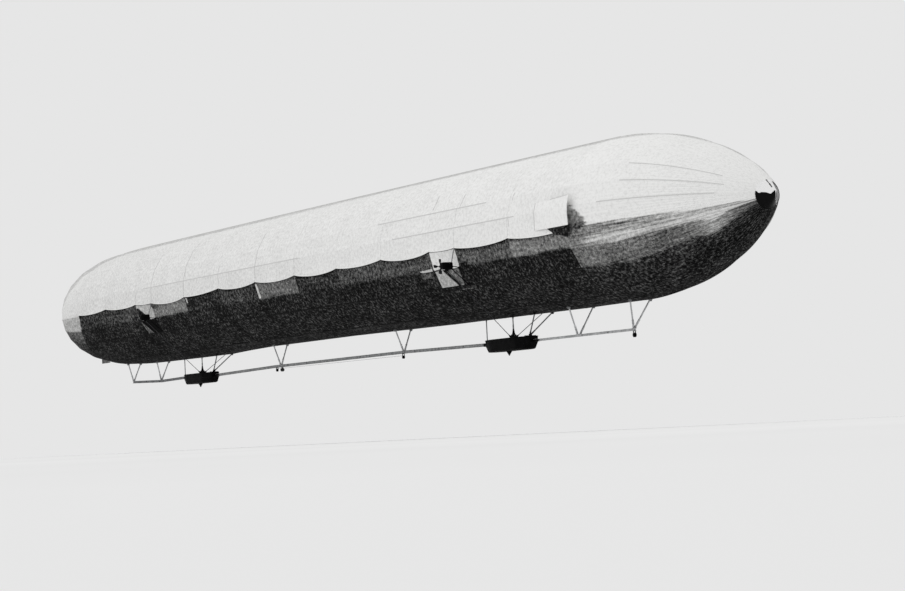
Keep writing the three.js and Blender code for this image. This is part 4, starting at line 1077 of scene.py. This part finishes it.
# Blocks of the trim weight's rope: station, drop below the beam, radius and beam
PULLEYS = {"aft": (-1.255, 0.022, 0.014, "middle"), "middle": (1.220, 0.028, 0.014, "middle"),
           "fore": (4.730, 0.030, 0.017, "fore")}
WEIGHT = {"x": -1.145, "drop": 0.024, "radius": 0.016, "half_length": 0.015}


def make_pulleys():
    """Blocks of the trim weight's rope: two sheaves each between cheeks on straps."""
    for name, (x, drop, radius, beam) in PULLEYS.items():
        bottom = beam_bottom(beam, x)
        centre = bottom - drop
        half = radius * 0.62
        piece = Piece()
        for y in (-0.0036, 0.0036):
            piece.lathe((x, y, centre), (0, 1, 0),
                        [(-0.0033, 0.004), (-0.0033, radius), (-0.0026, radius), (-0.0008, radius - 0.003),
                         (0.0008, radius - 0.003), (0.0026, radius), (0.0033, radius), (0.0033, 0.004)], 28)
        for sign in SIDES.values():
            piece.plate(x, sign * 0.0087, half, 0.0009, centre - half, centre + half)
            piece.plate(x, sign * 0.0087, 0.0045, 0.0012, centre, bottom - 0.001)
            piece.bolts((x, sign * 0.0096, centre), (0, sign, 0), 0.0, 1, 0.0030)
        piece.plate(x, 0, 0.008, 0.0098, bottom - 0.0038, bottom - 0.0003)
        piece.make(f"{name}_rope_block", [shade_black_sheet], "gondola_sheet", [f"keel_pulley_{name}"],
                   bevel=0.0003)


def make_trim_weight():
    """Turned weight on a flat hanger, and the taut rope that it runs along."""
    x, half, radius = WEIGHT["x"], WEIGHT["half_length"], WEIGHT["radius"]
    bottom = beam_bottom("middle", x)
    weight = Piece()
    end = [(half, 0.008), (half - 0.002, radius - 0.002), (half - 0.004, radius), (0.005, radius),
           (0.004, radius - 0.001)]
    profile = [(-at, reach) for at, reach in end] + end[::-1]
    weight.lathe((x, 0, bottom - WEIGHT["drop"]), (1, 0, 0), profile, 32)
    weight.plate(x, 0, 0.014, 0.0072, bottom - 0.0043, bottom - 0.0003)
    weight.plate(x, 0, 0.005, 0.004, bottom - 0.012, bottom - 0.002)
    places = [(x + dx, dy, bottom - 0.0043) for dx in (-0.011, 0.011) for dy in (-0.005, 0.005)]
    weight.rivets(places, (0, 0, -1), 0.0014)
    weight.make("running_trim_weight", [weight_lead], "weight_lead", ["trim_weight"], "weight", bevel=0.0004)

    rope = Piece()
    ends = [(block_x, 0, bottom - drop + reach - 0.002)
            for block_x, drop, reach, _ in (PULLEYS["aft"], PULLEYS["middle"])]
    rope.rod(*ends, 0.0009, sides=8)
    rope.make("trim_weight_rope", [hemp], "frame_tube")


def gondola_outline(x, z, inset=0.0):
    """Plan of a gondola's skin at a height, its corners rounded."""
    share = max(0.0, min(1.0, (GONDOLA_KNUCKLE - z) / (GONDOLA_KNUCKLE - GONDOLA_BOTTOM)))
    bow = GONDOLA_HALF_LENGTH - GONDOLA_RAKE * share - inset
    wide = GONDOLA_HALF_WIDTH - GONDOLA_FLARE * share - inset
    narrow = GONDOLA_END_HALF_WIDTH - GONDOLA_FLARE * share / 2 - inset * 0.6
    shoulder = GONDOLA_SHOULDER
    corners = [Vector(corner) for corner in
               ((-bow, -narrow), (-shoulder, -wide), (shoulder, -wide), (bow, -narrow),
                (bow, narrow), (shoulder, wide), (-shoulder, wide), (-bow, narrow))]
    points = []
    for k, corner in enumerate(corners):
        reach = 0.012 if k in (0, 3, 4, 7) else 0.03
        a = corner + (corners[k - 1] - corner).normalized() * reach
        b = corner + (corners[(k + 1) % 8] - corner).normalized() * reach
        for t in np.linspace(0, 1, 6):
            curve = a * (1 - t) ** 2 + corner * 2 * t * (1 - t) + b * t ** 2
            points.append((x + curve.x, curve.y, z))
    return points


def spread(points, spacing):
    """Evenly spaced places round a closed outline, and the level direction out of it at each."""
    ring = [Vector(point) for point in points]
    lengths = [(ring[(k + 1) % len(ring)] - ring[k]).length for k in range(len(ring))]
    count = int(sum(lengths) / spacing)
    middle = sum(ring, Vector()) / len(ring)
    places, outward = [], []
    k, travelled = 0, 0.0
    for n in range(count):
        target = sum(lengths) * n / count
        while travelled + lengths[k] < target:
            travelled += lengths[k]
            k += 1
        along = (ring[(k + 1) % len(ring)] - ring[k]).normalized()
        side = Vector((along.y, -along.x, 0))
        place = ring[k] + along * (target - travelled)
        places.append(place)
        outward.append(side if side.dot(place - middle) > 0 else -side)
    return places, outward


# Heights of a gondola's strakes and of its rows of rivets with their spacing, and how far a strake stands out
GONDOLA_STRAKES = [-0.846, -0.8292, GONDOLA_KNUCKLE, -0.7885]
GONDOLA_RIVETS = [(-0.8425, 0.02), (-0.815, 0.02), (-0.7915, 0.02), (-0.7725, 0.028)]
GONDOLA_LAP = 0.0007


def make_boat(name, x):
    """Open boat of riveted sheet: lapped strakes, a rolled gunwale, ribs inside and keels below."""
    boat = Piece()
    rings = [gondola_outline(x, GONDOLA_BOTTOM, 0.006), gondola_outline(x, GONDOLA_BOTTOM + 0.004, 0.001)]
    for level in GONDOLA_STRAKES:
        inset = -GONDOLA_LAP if level >= GONDOLA_KNUCKLE else GONDOLA_LAP
        rings += [gondola_outline(x, level), gondola_outline(x, level + 0.0004, inset)]
    rings.append(gondola_outline(x, GONDOLA_TOP))
    for level in (GONDOLA_TOP, GONDOLA_KNUCKLE, GONDOLA_FLOOR - 0.002):
        rings.append(gondola_outline(x, level, GONDOLA_SHEET))
    boat.loft(rings)
    gunwale = [(px, py, GONDOLA_TOP - 0.0035) for px, py, _ in gondola_outline(x, GONDOLA_TOP, -0.001)]
    boat.tube(gunwale, 0.0034, 10, closed=True)
    for level, spacing in GONDOLA_RIVETS:
        boat.rivets(*spread(gondola_outline(x, level), spacing), 0.0012)
    for rib in np.arange(-0.28, 0.281, 0.07):
        share = max(0.0, (abs(rib) - GONDOLA_SHOULDER) / (GONDOLA_HALF_LENGTH - GONDOLA_SHOULDER))
        wide = GONDOLA_HALF_WIDTH + (GONDOLA_END_HALF_WIDTH - GONDOLA_HALF_WIDTH) * share
        top = wide - GONDOLA_SHEET
        foot = top - GONDOLA_FLARE * (1 - 0.5 * share)
        for sign in SIDES.values():
            path = ((top, GONDOLA_TOP - 0.006), (top, GONDOLA_KNUCKLE), (foot, GONDOLA_FLOOR),
                    (0.004, GONDOLA_FLOOR))
            boat.tube([(x + rib, sign * y, z) for y, z in path], 0.0022, 6)
            boat.rod((x + rib, sign * (wide + 0.0002), GONDOLA_KNUCKLE + 0.004),
                     (x + rib, sign * (wide + 0.0002), GONDOLA_TOP - 0.008), 0.0014, sides=6)
    for keel_y in (-0.03, 0.0, 0.03):
        boat.plate(x, keel_y, 0.27, 0.003, GONDOLA_BOTTOM - 0.0002, GONDOLA_BOTTOM + 0.004)
    boat.make(f"{name}_gondola_boat", [shade_black_sheet], "gondola_sheet", [f"{name}_gondola"], bevel=0.0003)


def make_gondola(name, gondola):
    """The boat, the boards of its floor and the square foot under it."""
    x = gondola["x"]
    make_boat(name, x)
    boards = Piece()
    for k in range(-5, 6):
        boards.plate(x, k * 0.0118, 0.285 if abs(k) < 3 else 0.235, 0.0052, GONDOLA_FLOOR - 0.0045,
                     GONDOLA_FLOOR - 0.0005)
    boards.make(f"{name}_gondola_floor_boards", [deck_pine], "gondola_sheet", bevel=0.0004)

    foot_x = x + gondola["foot"]
    foot = Piece()
    rings = []
    for drop, half in ((0.0003, 0.0180), (0.003, 0.0184), (0.018, 0.0105), (0.033, 0.0040), (0.0363, 0.0034)):
        inner = half * 0.75
        rings.append([(foot_x + px, py, GONDOLA_BOTTOM - drop)
                      for px, py in ((half, inner), (inner, half), (-inner, half), (-half, inner),
                                     (-half, -inner), (-inner, -half), (inner, -half), (half, -inner))])
    foot.loft(rings)
    foot.make(f"{name}_gondola_bumper", [shade_black_sheet], "gondola_sheet", [f"{name}_gondola_foot"])


# Engine: its ends from the gondola's middle, its half width, the height of its shaft and its pots
ENGINE = {"aft": -0.112, "fore": -0.008, "half_width": 0.024, "shaft_z": -0.827, "pot_radius": 0.011,
          "pots": 4}
FLYWHEEL = {"x": 0.002, "radius": 0.024}
# Bevel stand on the gondola's floor
PEDESTAL_HALF_LENGTH = 0.017
PEDESTAL_HALF_WIDTH = 0.022


def shaft_line(gondola, sign):
    """Both ends of a drive shaft's line, and its direction."""
    root = Vector((gondola["x"] + gondola["centre_post"], sign * SHAFT_ROOT[0], SHAFT_ROOT[1]))
    tip = Vector((gondola["x"] + STATION_OFFSET, sign * SHAFT_TIP[0], SHAFT_TIP[1]))
    return root, tip, (tip - root).normalized()


# Heights of the drum across the bevel stand, and of the pots' pipes
DRUM_Z = -0.752
PIPE_Z = -0.800


def make_engine_block(engine, x, floor):
    """Crankcase on two bearers, and four pots with their caps, bolts and pipes."""
    aft, fore = x + ENGINE["aft"], x + ENGINE["fore"]
    for sign in SIDES.values():
        engine.plate((aft + fore) / 2, sign * ENGINE["half_width"], (fore - aft) / 2, 0.003, floor,
                     floor + 0.007)
    side = [(0.023, floor + 0.004), (0.024, -0.833), (0.021, -0.820), (0.014, -0.8145)]
    section = [(-0.023, floor + 0.004)] + side + [(-y, z) for y, z in side[:0:-1]]
    engine.loft([[(px, y, z) for y, z in section] for px in (aft, fore)])
    pitch = (fore - aft) / ENGINE["pots"]
    radius = ENGINE["pot_radius"]
    pot_profile = [(0, 0.0118), (0.003, 0.0118), (0.0035, radius - 0.001), (0.008, radius - 0.001),
                   (0.0085, radius), (0.030, radius), (0.0305, radius + 0.001), (0.033, radius + 0.001),
                   (0.0335, radius - 0.001), (0.038, 0.006), (0.040, 0.003)]
    for pot in range(ENGINE["pots"]):
        px = aft + (pot + 0.5) * pitch
        engine.lathe((px, 0, -0.816), (0, 0, 1), pot_profile, 24)
        engine.bolts((px, 0, -0.813), (0, 0, 1), 0.0105, 6, 0.0011)
        for sign in SIDES.values():
            bend = ((0.008, -0.786), (0.014, -0.787), (0.017, -0.793), (0.017, PIPE_Z))
            engine.tube([(px, sign * y, z) for y, z in bend], 0.0022, 8)
        engine.rod((px + 0.004, 0.013, -0.815), (px + 0.004, 0.013, -0.784), 0.0008, sides=6)
    for sign in SIDES.values():
        engine.tube([(aft + 0.004, sign * 0.017, PIPE_Z), (fore - 0.004, sign * 0.017, PIPE_Z)], 0.0035, 10)
    exhaust = ((0.004, PIPE_Z), (-0.010, PIPE_Z), (-0.016, -0.806), (-0.016, floor))
    engine.tube([(aft + dx, 0.017, z) for dx, z in exhaust], 0.0035, 10)


def make_flywheel(engine, x, z):
    """Turned rim and hub on six spokes."""
    radius = FLYWHEEL["radius"]
    rim = [(-0.0045, 0.019), (-0.0045, radius), (0.0045, radius), (0.0045, 0.019)]
    engine.lathe((x, 0, z), (1, 0, 0), rim, 40)
    engine.lathe((x, 0, z), (1, 0, 0), [(-0.0055, 0.007), (0.0055, 0.007)], 20)
    for k in range(6):
        engine.slab((x - 0.0018, -0.0022, z + 0.005), (x + 0.0018, 0.0022, z + 0.0205),
                    turn=Matrix.Rotation(k * math.pi / 3, 3, "X"), about=(x, 0, z))


def make_bevel_stand(engine, x, floor, shaft_z):
    """Two cast A-frames, an upright case and a cross drum for the bevel gears."""
    reach = PEDESTAL_HALF_LENGTH - 0.003
    for edge in (-reach, reach):
        for sign in SIDES.values():
            foot = (x + edge, sign * (PEDESTAL_HALF_WIDTH - 0.002), floor)
            engine.tube([foot, (x + edge * 0.7, sign * 0.008, -0.760)], 0.0028, 8)
            engine.plate(foot[0], foot[1], 0.004, 0.004, floor, floor + 0.003)
    engine.lathe((x, 0, shaft_z - 0.010), (0, 0, 1),
                 [(0, 0.010), (0.004, 0.0125), (0.018, 0.0125), (0.022, 0.008), (0.060, 0.0065),
                  (0.066, 0.010)], 24)
    drum = [(0, 0.010), (0.003, 0.0145), (0.010, 0.0155), (0.032, 0.0155), (0.039, 0.0145), (0.042, 0.010)]
    engine.lathe((x, -0.021, DRUM_Z), (0, 1, 0), drum, 28)
    engine.lathe((x, 0, DRUM_Z + 0.010), (0, 0, 1), [(0, 0.012), (0.003, 0.009), (0.006, 0.009)], 20)
    for sign in (1, -1):
        engine.bolts((x, sign * 0.018, DRUM_Z), (0, sign, 0), 0.0125, 8, 0.0011)


def make_engine(name, gondola):
    """Four-pot engine in line with the boat, its flywheel, and the stand with the bevel gears."""
    x, shaft_z = gondola["x"], ENGINE["shaft_z"]
    floor = GONDOLA_FLOOR + 0.0003
    case_x = x + gondola["centre_post"]
    engine = Piece()
    make_engine_block(engine, x, floor)
    engine.rod((x + ENGINE["fore"] - 0.001, 0, shaft_z), (case_x, 0, shaft_z), 0.005, sides=14)
    make_flywheel(engine, x + FLYWHEEL["x"], shaft_z)
    make_bevel_stand(engine, case_x, floor, shaft_z)
    for sign in SIDES.values():
        root, _, along = shaft_line(gondola, sign)
        engine.lathe(root - along * BOSS_LENGTH, along, [(0, 0.006), (0.008, 0.0065), (0.019, 0.0065),
                                                         (0.020, 0.008), (BOSS_LENGTH, 0.008)], 18)
    engine.make(f"{name}_engine_and_bevel_stand", [engine_iron], "engine_iron", [f"{name}_engine"],
                bevel=0.0003)


def make_rear_post(name, gondola):
    """Post from the beam's end to the hull, with a shoe below and a plate on top."""
    x = gondola["x"] + gondola["aft_post"]
    shoe = beam_seat(gondola["beam"], x)
    head = on_hull(x, 0.0)
    length = head - shoe
    post = Piece()
    post.plate(x, 0, 0.013, BEAM_WIDTH / 2, shoe, shoe + 0.003, 1)
    post.lathe((x, 0, shoe + 0.002), (0, 0, 1),
               [(0, 0.007), (0.012, 0.0065), (0.014, 0.0042), (length - 0.016, 0.0042),
                (length - 0.014, 0.006), (length - 0.003, 0.006)])
    post.plate(x, 0, 0.011, 0.011, head - 0.0035, head + 0.0005, 1)
    post.make(f"{name}_gondola_rear_post", [splice_metal, shade_black_sheet], "frame_tube", [f"{name}_hanger_post"],
              bevel=0.0003)


def make_middle_post(name, gondola):
    """Post on the bevel stand: a thick black sleeve below, then a slim tube."""
    x = gondola["x"] + gondola["centre_post"]
    seat = PEDESTAL_TOP + 0.0003
    head = on_hull(x, 0.0)
    post = Piece()
    post.lathe((x, 0, seat), (0, 0, 1),
               [(0, 0.013), (0.004, 0.013), (0.010, 0.0100), (0.030, 0.0075), (0.040, 0.0062)], 20, 1)
    post.lathe((x, 0, seat + 0.039), (0, 0, 1),
               [(0, 0.0062), (0.030, 0.0058), (0.032, 0.0045), (head - seat - 0.051, 0.0045)], 20)
    post.lathe((x, 0, head - 0.014), (0, 0, 1), [(0, 0.005), (0.001, 0.0075), (0.013, 0.0075)], 20)
    post.plate(x, 0, 0.012, 0.012, head - 0.0035, head + 0.0005, 1)
    post.make(f"{name}_gondola_middle_post", [girder_metal, shade_black_sheet], "frame_tube",
              [f"{name}_centre_post"], bevel=0.0003)


def make_fore_stays(name, gondola):
    """Two stays that spread from a block on the gondola's rim to the hull, with eyes, sleeves and clamps."""
    foot_x, top_x = gondola["x"] + gondola["stay_foot"], gondola["x"] + gondola["stay_head"]
    bar = gondola["bar"]
    rim = GONDOLA_TOP + 0.0003
    stays = Piece()
    stays.plate(foot_x, 0, 0.006, bar, rim, rim + 0.005, 1)
    for edge in (-0.0075, 0.0075):
        stays.plate(foot_x + edge, 0, 0.001, 0.010, rim, rim + STAY_BLOCK_HEIGHT, 1)
    for sign in SIDES.values():
        y = sign * STAY_HEAD_Y
        head_z = on_hull(top_x, y)
        low = Vector((foot_x, sign * STAY_FOOT_Y, rim + STAY_BLOCK_HEIGHT - 0.005))
        reach = Vector((top_x, y, head_z + 0.001)) - low
        along, length = reach.normalized(), reach.length
        stays.lathe(low, along, [(0, 0.0035), (0.004, 0.0062), (0.045, 0.0060), (0.047, 0.0051),
                                 (length - 0.014, 0.0051), (length - 0.003, 0.0036), (length, 0.0036)])
        stays.lathe(low + along * 0.020, along, [(0, 0.0060), (0, 0.0072), (0.003, 0.0072), (0.003, 0.0060)])
        for edge in (-0.0055, 0.0055):
            stays.plate(top_x, y + edge, 0.008, 0.001, head_z - 0.012, head_z + 0.002, 1)
        stays.plate(top_x, y, 0.011, 0.010, head_z - 0.0035, head_z + 0.001, 1)
        places = [(foot_x + dx, sign * (bar - 0.004), rim + 0.005) for dx in (-0.003, 0.003)]
        stays.rivets(places, (0, 0, 1), 0.0012, 1)
    stays.make(f"{name}_gondola_fore_stays", [splice_metal, shade_black_sheet], "frame_tube",
               [f"{name}_gondola_stays"], bevel=0.0003)


def make_outrigger_tube(case, start, end, outward, finish):
    """Tube with pressed ends from the bevel case to a bolted plate on the hull."""
    length = (end - start).length
    case.lathe(start, end - start, [(0, 0.0052), (0.010, 0.0048), (0.011, 0.0034), (length - 0.011, 0.0034),
                                    (length - 0.010, 0.0046), (length, 0.0046)], 14, finish)
    case.lathe(end - outward * 0.0012, outward, [(0, 0.010), (0.0022, 0.010), (0.0032, 0.007)], 20, finish)
    case.bolts(end + outward * 0.0008, outward, 0.0082, 4, 0.0011, finish)


def make_gearcase(name, gondola, sign):
    """Cast bevel case on four tubes, with ribs, a bearing cap and a boss for the drive shaft."""
    x = gondola["x"] + STATION_OFFSET
    y, z = GEARCASE["y"], GEARCASE["z"]
    half_x, half_y, half_z = GEARCASE["half_length"], GEARCASE["half_width"], GEARCASE["half_height"]
    corner = 0.012
    case = Piece()
    section = []
    for px, shrink in ((-half_x, 0.006), (-half_x + 0.004, 0.0), (half_x - 0.004, 0.0), (half_x, 0.006)):
        wide, tall = half_y - shrink - corner, half_z - shrink - corner
        section.append([(x + px, sign * (y + corner_y * wide + corner * math.cos(turn)),
                         z + corner_z * tall + corner * math.sin(turn))
                        for corner_y, corner_z, first in ((1, 1, 0), (-1, 1, 90), (-1, -1, 180), (1, -1, 270))
                        for turn in np.radians(range(first, first + 91, 15))])
    case.loft(section)
    for rib in (-0.024, 0.0, 0.024):
        case.plate(x, sign * (y + rib), half_x - 0.002, 0.0015, z - half_z, z + half_z)
    hub_y = sign * PROPELLER["y"]
    case.lathe((x + half_x - 0.001, hub_y, z), (1, 0, 0),
               [(0, 0.014), (0.003, 0.014), (0.005, 0.010), (0.006, 0.004)], 24)
    case.bolts((x + half_x + 0.001, hub_y, z), (1, 0, 0), 0.0118, 6, 0.0013)
    case.lathe((x - half_x + 0.0015, hub_y, z), (-1, 0, 0), [(0, 0.016), (0.0015, 0.0155)], 24)
    _, tip, along = shaft_line(gondola, sign)
    case.lathe(tip, -along,
               [(0, 0.010), (0.012, 0.009), (0.018, 0.0072), (0.0235, 0.0072), (BOSS_LENGTH, 0.008)], 18)
    inner = sign * (y - half_y + 0.002)
    for deg, along_hull, from_x, from_z in OUTRIGGER_FEET:
        angle = deg if sign > 0 else 180 - deg
        end = Vector(skin(x + along_hull, angle, 0.001))
        outward = Vector((0, math.cos(math.radians(angle)), math.sin(math.radians(angle))))
        # The lower tubes are black like the case, in the same painted shade
        make_outrigger_tube(case, Vector((x + from_x, inner, z + from_z)), end, outward, int(end.z > z))
    case.make(f"{name}_gearcase_on_outrigger", [shade_black_sheet, girder_metal], "gondola_sheet",
              [f"{name}_outrigger"], bevel=0.0004)


def make_drive_shaft(name, gondola, sign):
    """Slim steel tube between the bevel stand and the gearcase, with a bolted flange at each end."""
    root, tip, along = shaft_line(gondola, sign)
    start = root + along * 0.0003
    length = (tip - root).length - BOSS_LENGTH - 0.0006
    shaft = Piece()
    half = [(0, 0.0065), (0.003, 0.0065), (0.004, 0.0050), (0.009, 0.0046), (0.016, 0.0026)]
    shaft.lathe(start, along, half + [(length - at, radius) for at, radius in reversed(half)])
    for at, facing in ((0.003, along), (length - 0.003, -along)):
        shaft.bolts(start + along * at, facing, 0.0057, 6, 0.0006)
    shaft.make(f"{name}_flanged_shaft", [shaft_steel], "shaft_steel", [f"{name}_drive_shaft"],
               f"shaft_{name}", bevel=0.0002)


# Distance from the hub and width of a blade, from its root to its tip
BLADE = [(0.019, 0.007), (0.028, 0.017), (0.038, 0.0255), (0.046, 0.0262), (0.052, 0.0255), (0.0555, 0.0215),
         (0.0573, 0.015)]


def blade_axes(pitch_deg, sign):
    """Directions across a blade and out of its face, for a pitch."""
    pitch = math.radians(90 - sign * pitch_deg)
    return Vector((math.cos(pitch), math.sin(pitch), 0)), Vector((-math.sin(pitch), math.cos(pitch), 0))


def make_propeller(name, gondola, sign):
    """Four beaten blades on tube arms, riveted, with a turned hub and its stub shaft."""
    station = gondola["x"] + STATION_OFFSET
    hub = Vector((station + PROPELLER["x"], sign * PROPELLER["y"], PROPELLER["z"]))
    screw = Piece()
    screw.lathe(hub, (1, 0, 0), [(-0.012, 0.0035), (-0.0105, 0.006), (-0.008, 0.0080), (0.008, 0.0080),
                                 (0.009, 0.0055), (0.012, 0.0045),
                                 (-PROPELLER["x"] - GEARCASE["half_length"] - 0.0003, 0.0045)], 28)
    screw.bolts(hub + Vector((-0.0078, 0, 0)), (-1, 0, 0), 0.0058, 6, 0.001)
    for blade in range(4):
        turn = Matrix.Rotation(blade * math.pi / 2, 3, "X")
        rows = []
        for k in np.linspace(0, 6, 19):
            out, width = (float(np.interp(k, range(7), marks)) for marks in zip(*BLADE))
            across, normal = blade_axes(PROPELLER["pitch"] + 5 * (1 - out / 0.04), sign)
            face = []
            for share in np.linspace(-0.5, 0.5, 9):
                camber = 0.0022 * (1 - (2 * share) ** 2) * width / 0.026
                face.append(turn @ (across * (share * width) + normal * camber + Vector((0, 0, out))) + hub)
            back = turn @ (normal * -0.0009)
            rows.append(face + [point + back for point in reversed(face)])
        screw.loft(rows)
        across, normal = blade_axes(PROPELLER["pitch"], sign)
        arm = (Vector((0, 0, 0.006)), Vector((0, 0, 0.022)), normal * 0.0008 + Vector((0, 0, 0.045)))
        screw.tube([turn @ point + hub for point in arm], 0.0021, 10)
        places = [turn @ (across * side + normal * 0.0022 + Vector((0, 0, out))) + hub
                  for out in (0.026, 0.031, 0.036, 0.041) for side in (-0.0035, 0.0035)]
        screw.rivets(places, turn @ normal, 0.0008)
    screw.make(f"{name}_propeller_blades", [blade_sheet], "propeller_sheet", [f"{name}_propeller"],
               f"screw_{name}", sharp_deg=50)


# Rudder: station of its stock, its length aft from there, and its heights
RUDDER = {"x": -5.415, "length": 0.225, "bottom": -0.543, "top": -0.513, "aft_top": -0.457}


def make_rudder_cloth(x, shoulder):
    """Cloth over both sides of the rudder's frame, drawn in a little between its ribs."""
    share_x, share_z = np.linspace(0, 1, 33)[:, None], np.linspace(0, 1, 13)
    top = shoulder + (RUDDER["aft_top"] - shoulder) * share_x
    z = RUDDER["bottom"] + 0.001 + (top - RUDDER["bottom"] - 0.003) * share_z
    x = np.broadcast_to(x - 0.002 - (RUDDER["length"] - 0.004) * share_x, z.shape)
    half = 0.0026 - 0.0012 * np.abs(np.sin(4 * math.pi * share_x)) * np.sin(math.pi * share_z)
    points = np.vstack([np.stack([x, side * half, z], axis=-1).reshape(-1, 3) for side in (1, -1)])
    corner = np.arange(z.size).reshape(z.shape)
    front = np.stack([corner[:-1, :-1], corner[:-1, 1:], corner[1:, 1:], corner[1:, :-1]],
                     axis=-1).reshape(-1, 4)
    rim = np.concatenate([corner[:, 0], corner[-1, 1:], corner[-2::-1, -1], corner[0, -2:0:-1]])
    after = np.roll(rim, -1)
    edge = np.stack([rim, after, after + z.size, rim + z.size], axis=-1)
    faces = np.vstack([front, front[:, [0, 3, 2, 1]] + z.size, edge]).tolist()
    sail = object_from("rudder_cloth", points, faces, [washed_cotton], sharp_deg=40)
    lay_threads(sail.data, points[:, [0, 2]])
    settle(sail, "rudder")


def make_rudder():
    """Rudder: a tube frame under cloth, turning on a stock in a forked bracket."""
    x, aft, bottom = RUDDER["x"], RUDDER["x"] - RUDDER["length"], RUDDER["bottom"]
    shoulder = RUDDER["top"] - 0.008
    tube = 0.0026
    corners = [(x, bottom + tube), (x, shoulder - tube), (aft + tube, RUDDER["aft_top"] - tube - 0.001),
               (aft + tube, bottom + tube)]
    blade = Piece()
    for start, end in zip(corners, corners[1:] + corners[:1]):
        blade.rod((start[0], 0, start[1]), (end[0], 0, end[1]), tube, sides=10)
    blade.rod((x, 0, bottom), (x, 0, RUDDER["top"]), 0.004, sides=18)
    for share in (0.25, 0.5, 0.75):
        rib_x = x - RUDDER["length"] * share
        top = shoulder + (RUDDER["aft_top"] - shoulder) * share
        blade.rod((rib_x, 0, bottom + tube), (rib_x, 0, top - tube), 0.0018, sides=8)
    blade.make("rudder_frame", [tube_metal], "grey_cover", ["aft_rudder"], "rudder")
    make_rudder_cloth(x, shoulder)

    seat = RUDDER["top"] + 0.0003
    head = on_hull(x, 0.0)
    bracket = Piece()
    bracket.lathe((x, 0, seat), (0, 0, 1),
                  [(0, 0.0095), (0.003, 0.0095), (0.004, 0.006), (head - seat - 0.004, 0.006),
                   (head - seat - 0.003, 0.009), (head - seat + 0.004, 0.009)], 20)
    for sign in SIDES.values():
        path = [(x + sign * 0.002, sign * 0.004, seat + 0.004),
                (x + sign * 0.010, sign * 0.0085, head + 0.004)]
        bracket.tube(path, 0.0016, 8)
    bracket.make("rudder_bracket_fork", [shade_black_sheet], "gondola_sheet", ["rudder_bracket"], bevel=0.0003)


make_middle_covers()
make_end_covers()
make_bay_panels()
make_patches()
make_tapes()
make_hem_rope()
make_flap()
make_end_cap("nose_cap_sheet", "nose_cap", NOSE_CAP_RIM, BOW["tip"], 1)
make_end_cap("tail_cap_sheet", "tail_cap", STERN_RINGS[0], -STERN["tip"], -1)
make_struts()
make_beams()
make_pulleys()
make_trim_weight()
make_rudder()
for gondola_name, gondola in GONDOLAS.items():
    make_gondola(gondola_name, gondola)
    make_engine(gondola_name, gondola)
    make_rear_post(gondola_name, gondola)
    make_middle_post(gondola_name, gondola)
    make_fore_stays(gondola_name, gondola)
    for side_name, side_sign in SIDES.items():
        station_name = f"{gondola_name}_{side_name}"
        make_gearcase(station_name, gondola, side_sign)
        make_propeller(station_name, gondola, side_sign)
        make_drive_shaft(station_name, gondola, side_sign)


def make_camera():
    """Camera of the photograph, at floor level and looking up at the ship."""
    lens = bpy.data.cameras.new("camera")
    lens.sensor_fit = "HORIZONTAL"
    lens.sensor_width = SENSOR
    lens.lens = LENS
    lens.clip_end = 500
    camera = bpy.data.objects.new("camera", lens)
    camera.matrix_world = (Matrix.Translation(CAMERA_PLACE)
                           @ Matrix.Rotation(math.radians(CAMERA_AZIMUTH), 4, "Z")
                           @ Matrix.Rotation(math.radians(90 - CAMERA_ELEVATION), 4, "X")
                           @ Matrix.Rotation(math.radians(CAMERA_ROLL), 4, "Z"))
    bpy.context.scene.collection.objects.link(camera)
    bpy.context.scene.camera = camera


# Overcast light on a pale floor
SKY_HEX = "#e6e6e6"
FLOOR_HEX = "#f3f3f3"
SUN_STRENGTH = 0.55
SUN_FROM = (-0.62, -0.42, 0.66)
SUN_SPREAD_DEG = 14
FLOOR_SIZE = 200


def make_floor():
    """Pale plaster floor, just under the camera."""
    floor = Piece()
    level = CAMERA_PLACE[2] - CAMERA_ABOVE_FLOOR
    floor.plate(0, 0, FLOOR_SIZE / 2, FLOOR_SIZE / 2, level - 0.5, level)
    plaster, shader = new_material("pale plaster")
    place = add(plaster, "TexCoord", output="Object")
    clouds = add(plaster, "TexNoise", {"Vector": place, "Scale": 0.6, "Detail": 3.0})
    tone = add(plaster, "ValToRGB", {"Fac": clouds},
               stops=[(0.3, linear("#efefef")), (0.7, linear(FLOOR_HEX))])
    connect(plaster, shader, {"Base Color": tone, "Roughness": 1.0, "Specular IOR Level": 0.0})
    object_from("floor", floor.points, floor.faces, [plaster])


def make_light():
    """An even pale sky and a soft sun from astern."""
    world = bpy.data.worlds.new("pale sky")
    bpy.context.scene.world = world
    world.use_nodes = True
    sky = world.node_tree.nodes["Background"]
    sky.inputs["Color"].default_value = linear(SKY_HEX)
    sky.inputs["Strength"].default_value = 1.0
    light = bpy.data.lights.new("soft sun", "SUN")
    light.energy = SUN_STRENGTH
    light.angle = math.radians(SUN_SPREAD_DEG)
    sun = bpy.data.objects.new("soft sun", light)
    sun.rotation_euler = Vector(SUN_FROM).to_track_quat("Z", "Y").to_euler()
    bpy.context.scene.collection.objects.link(sun)
    bpy.context.scene.view_settings.view_transform = "Standard"


make_camera()
make_floor()
make_light()
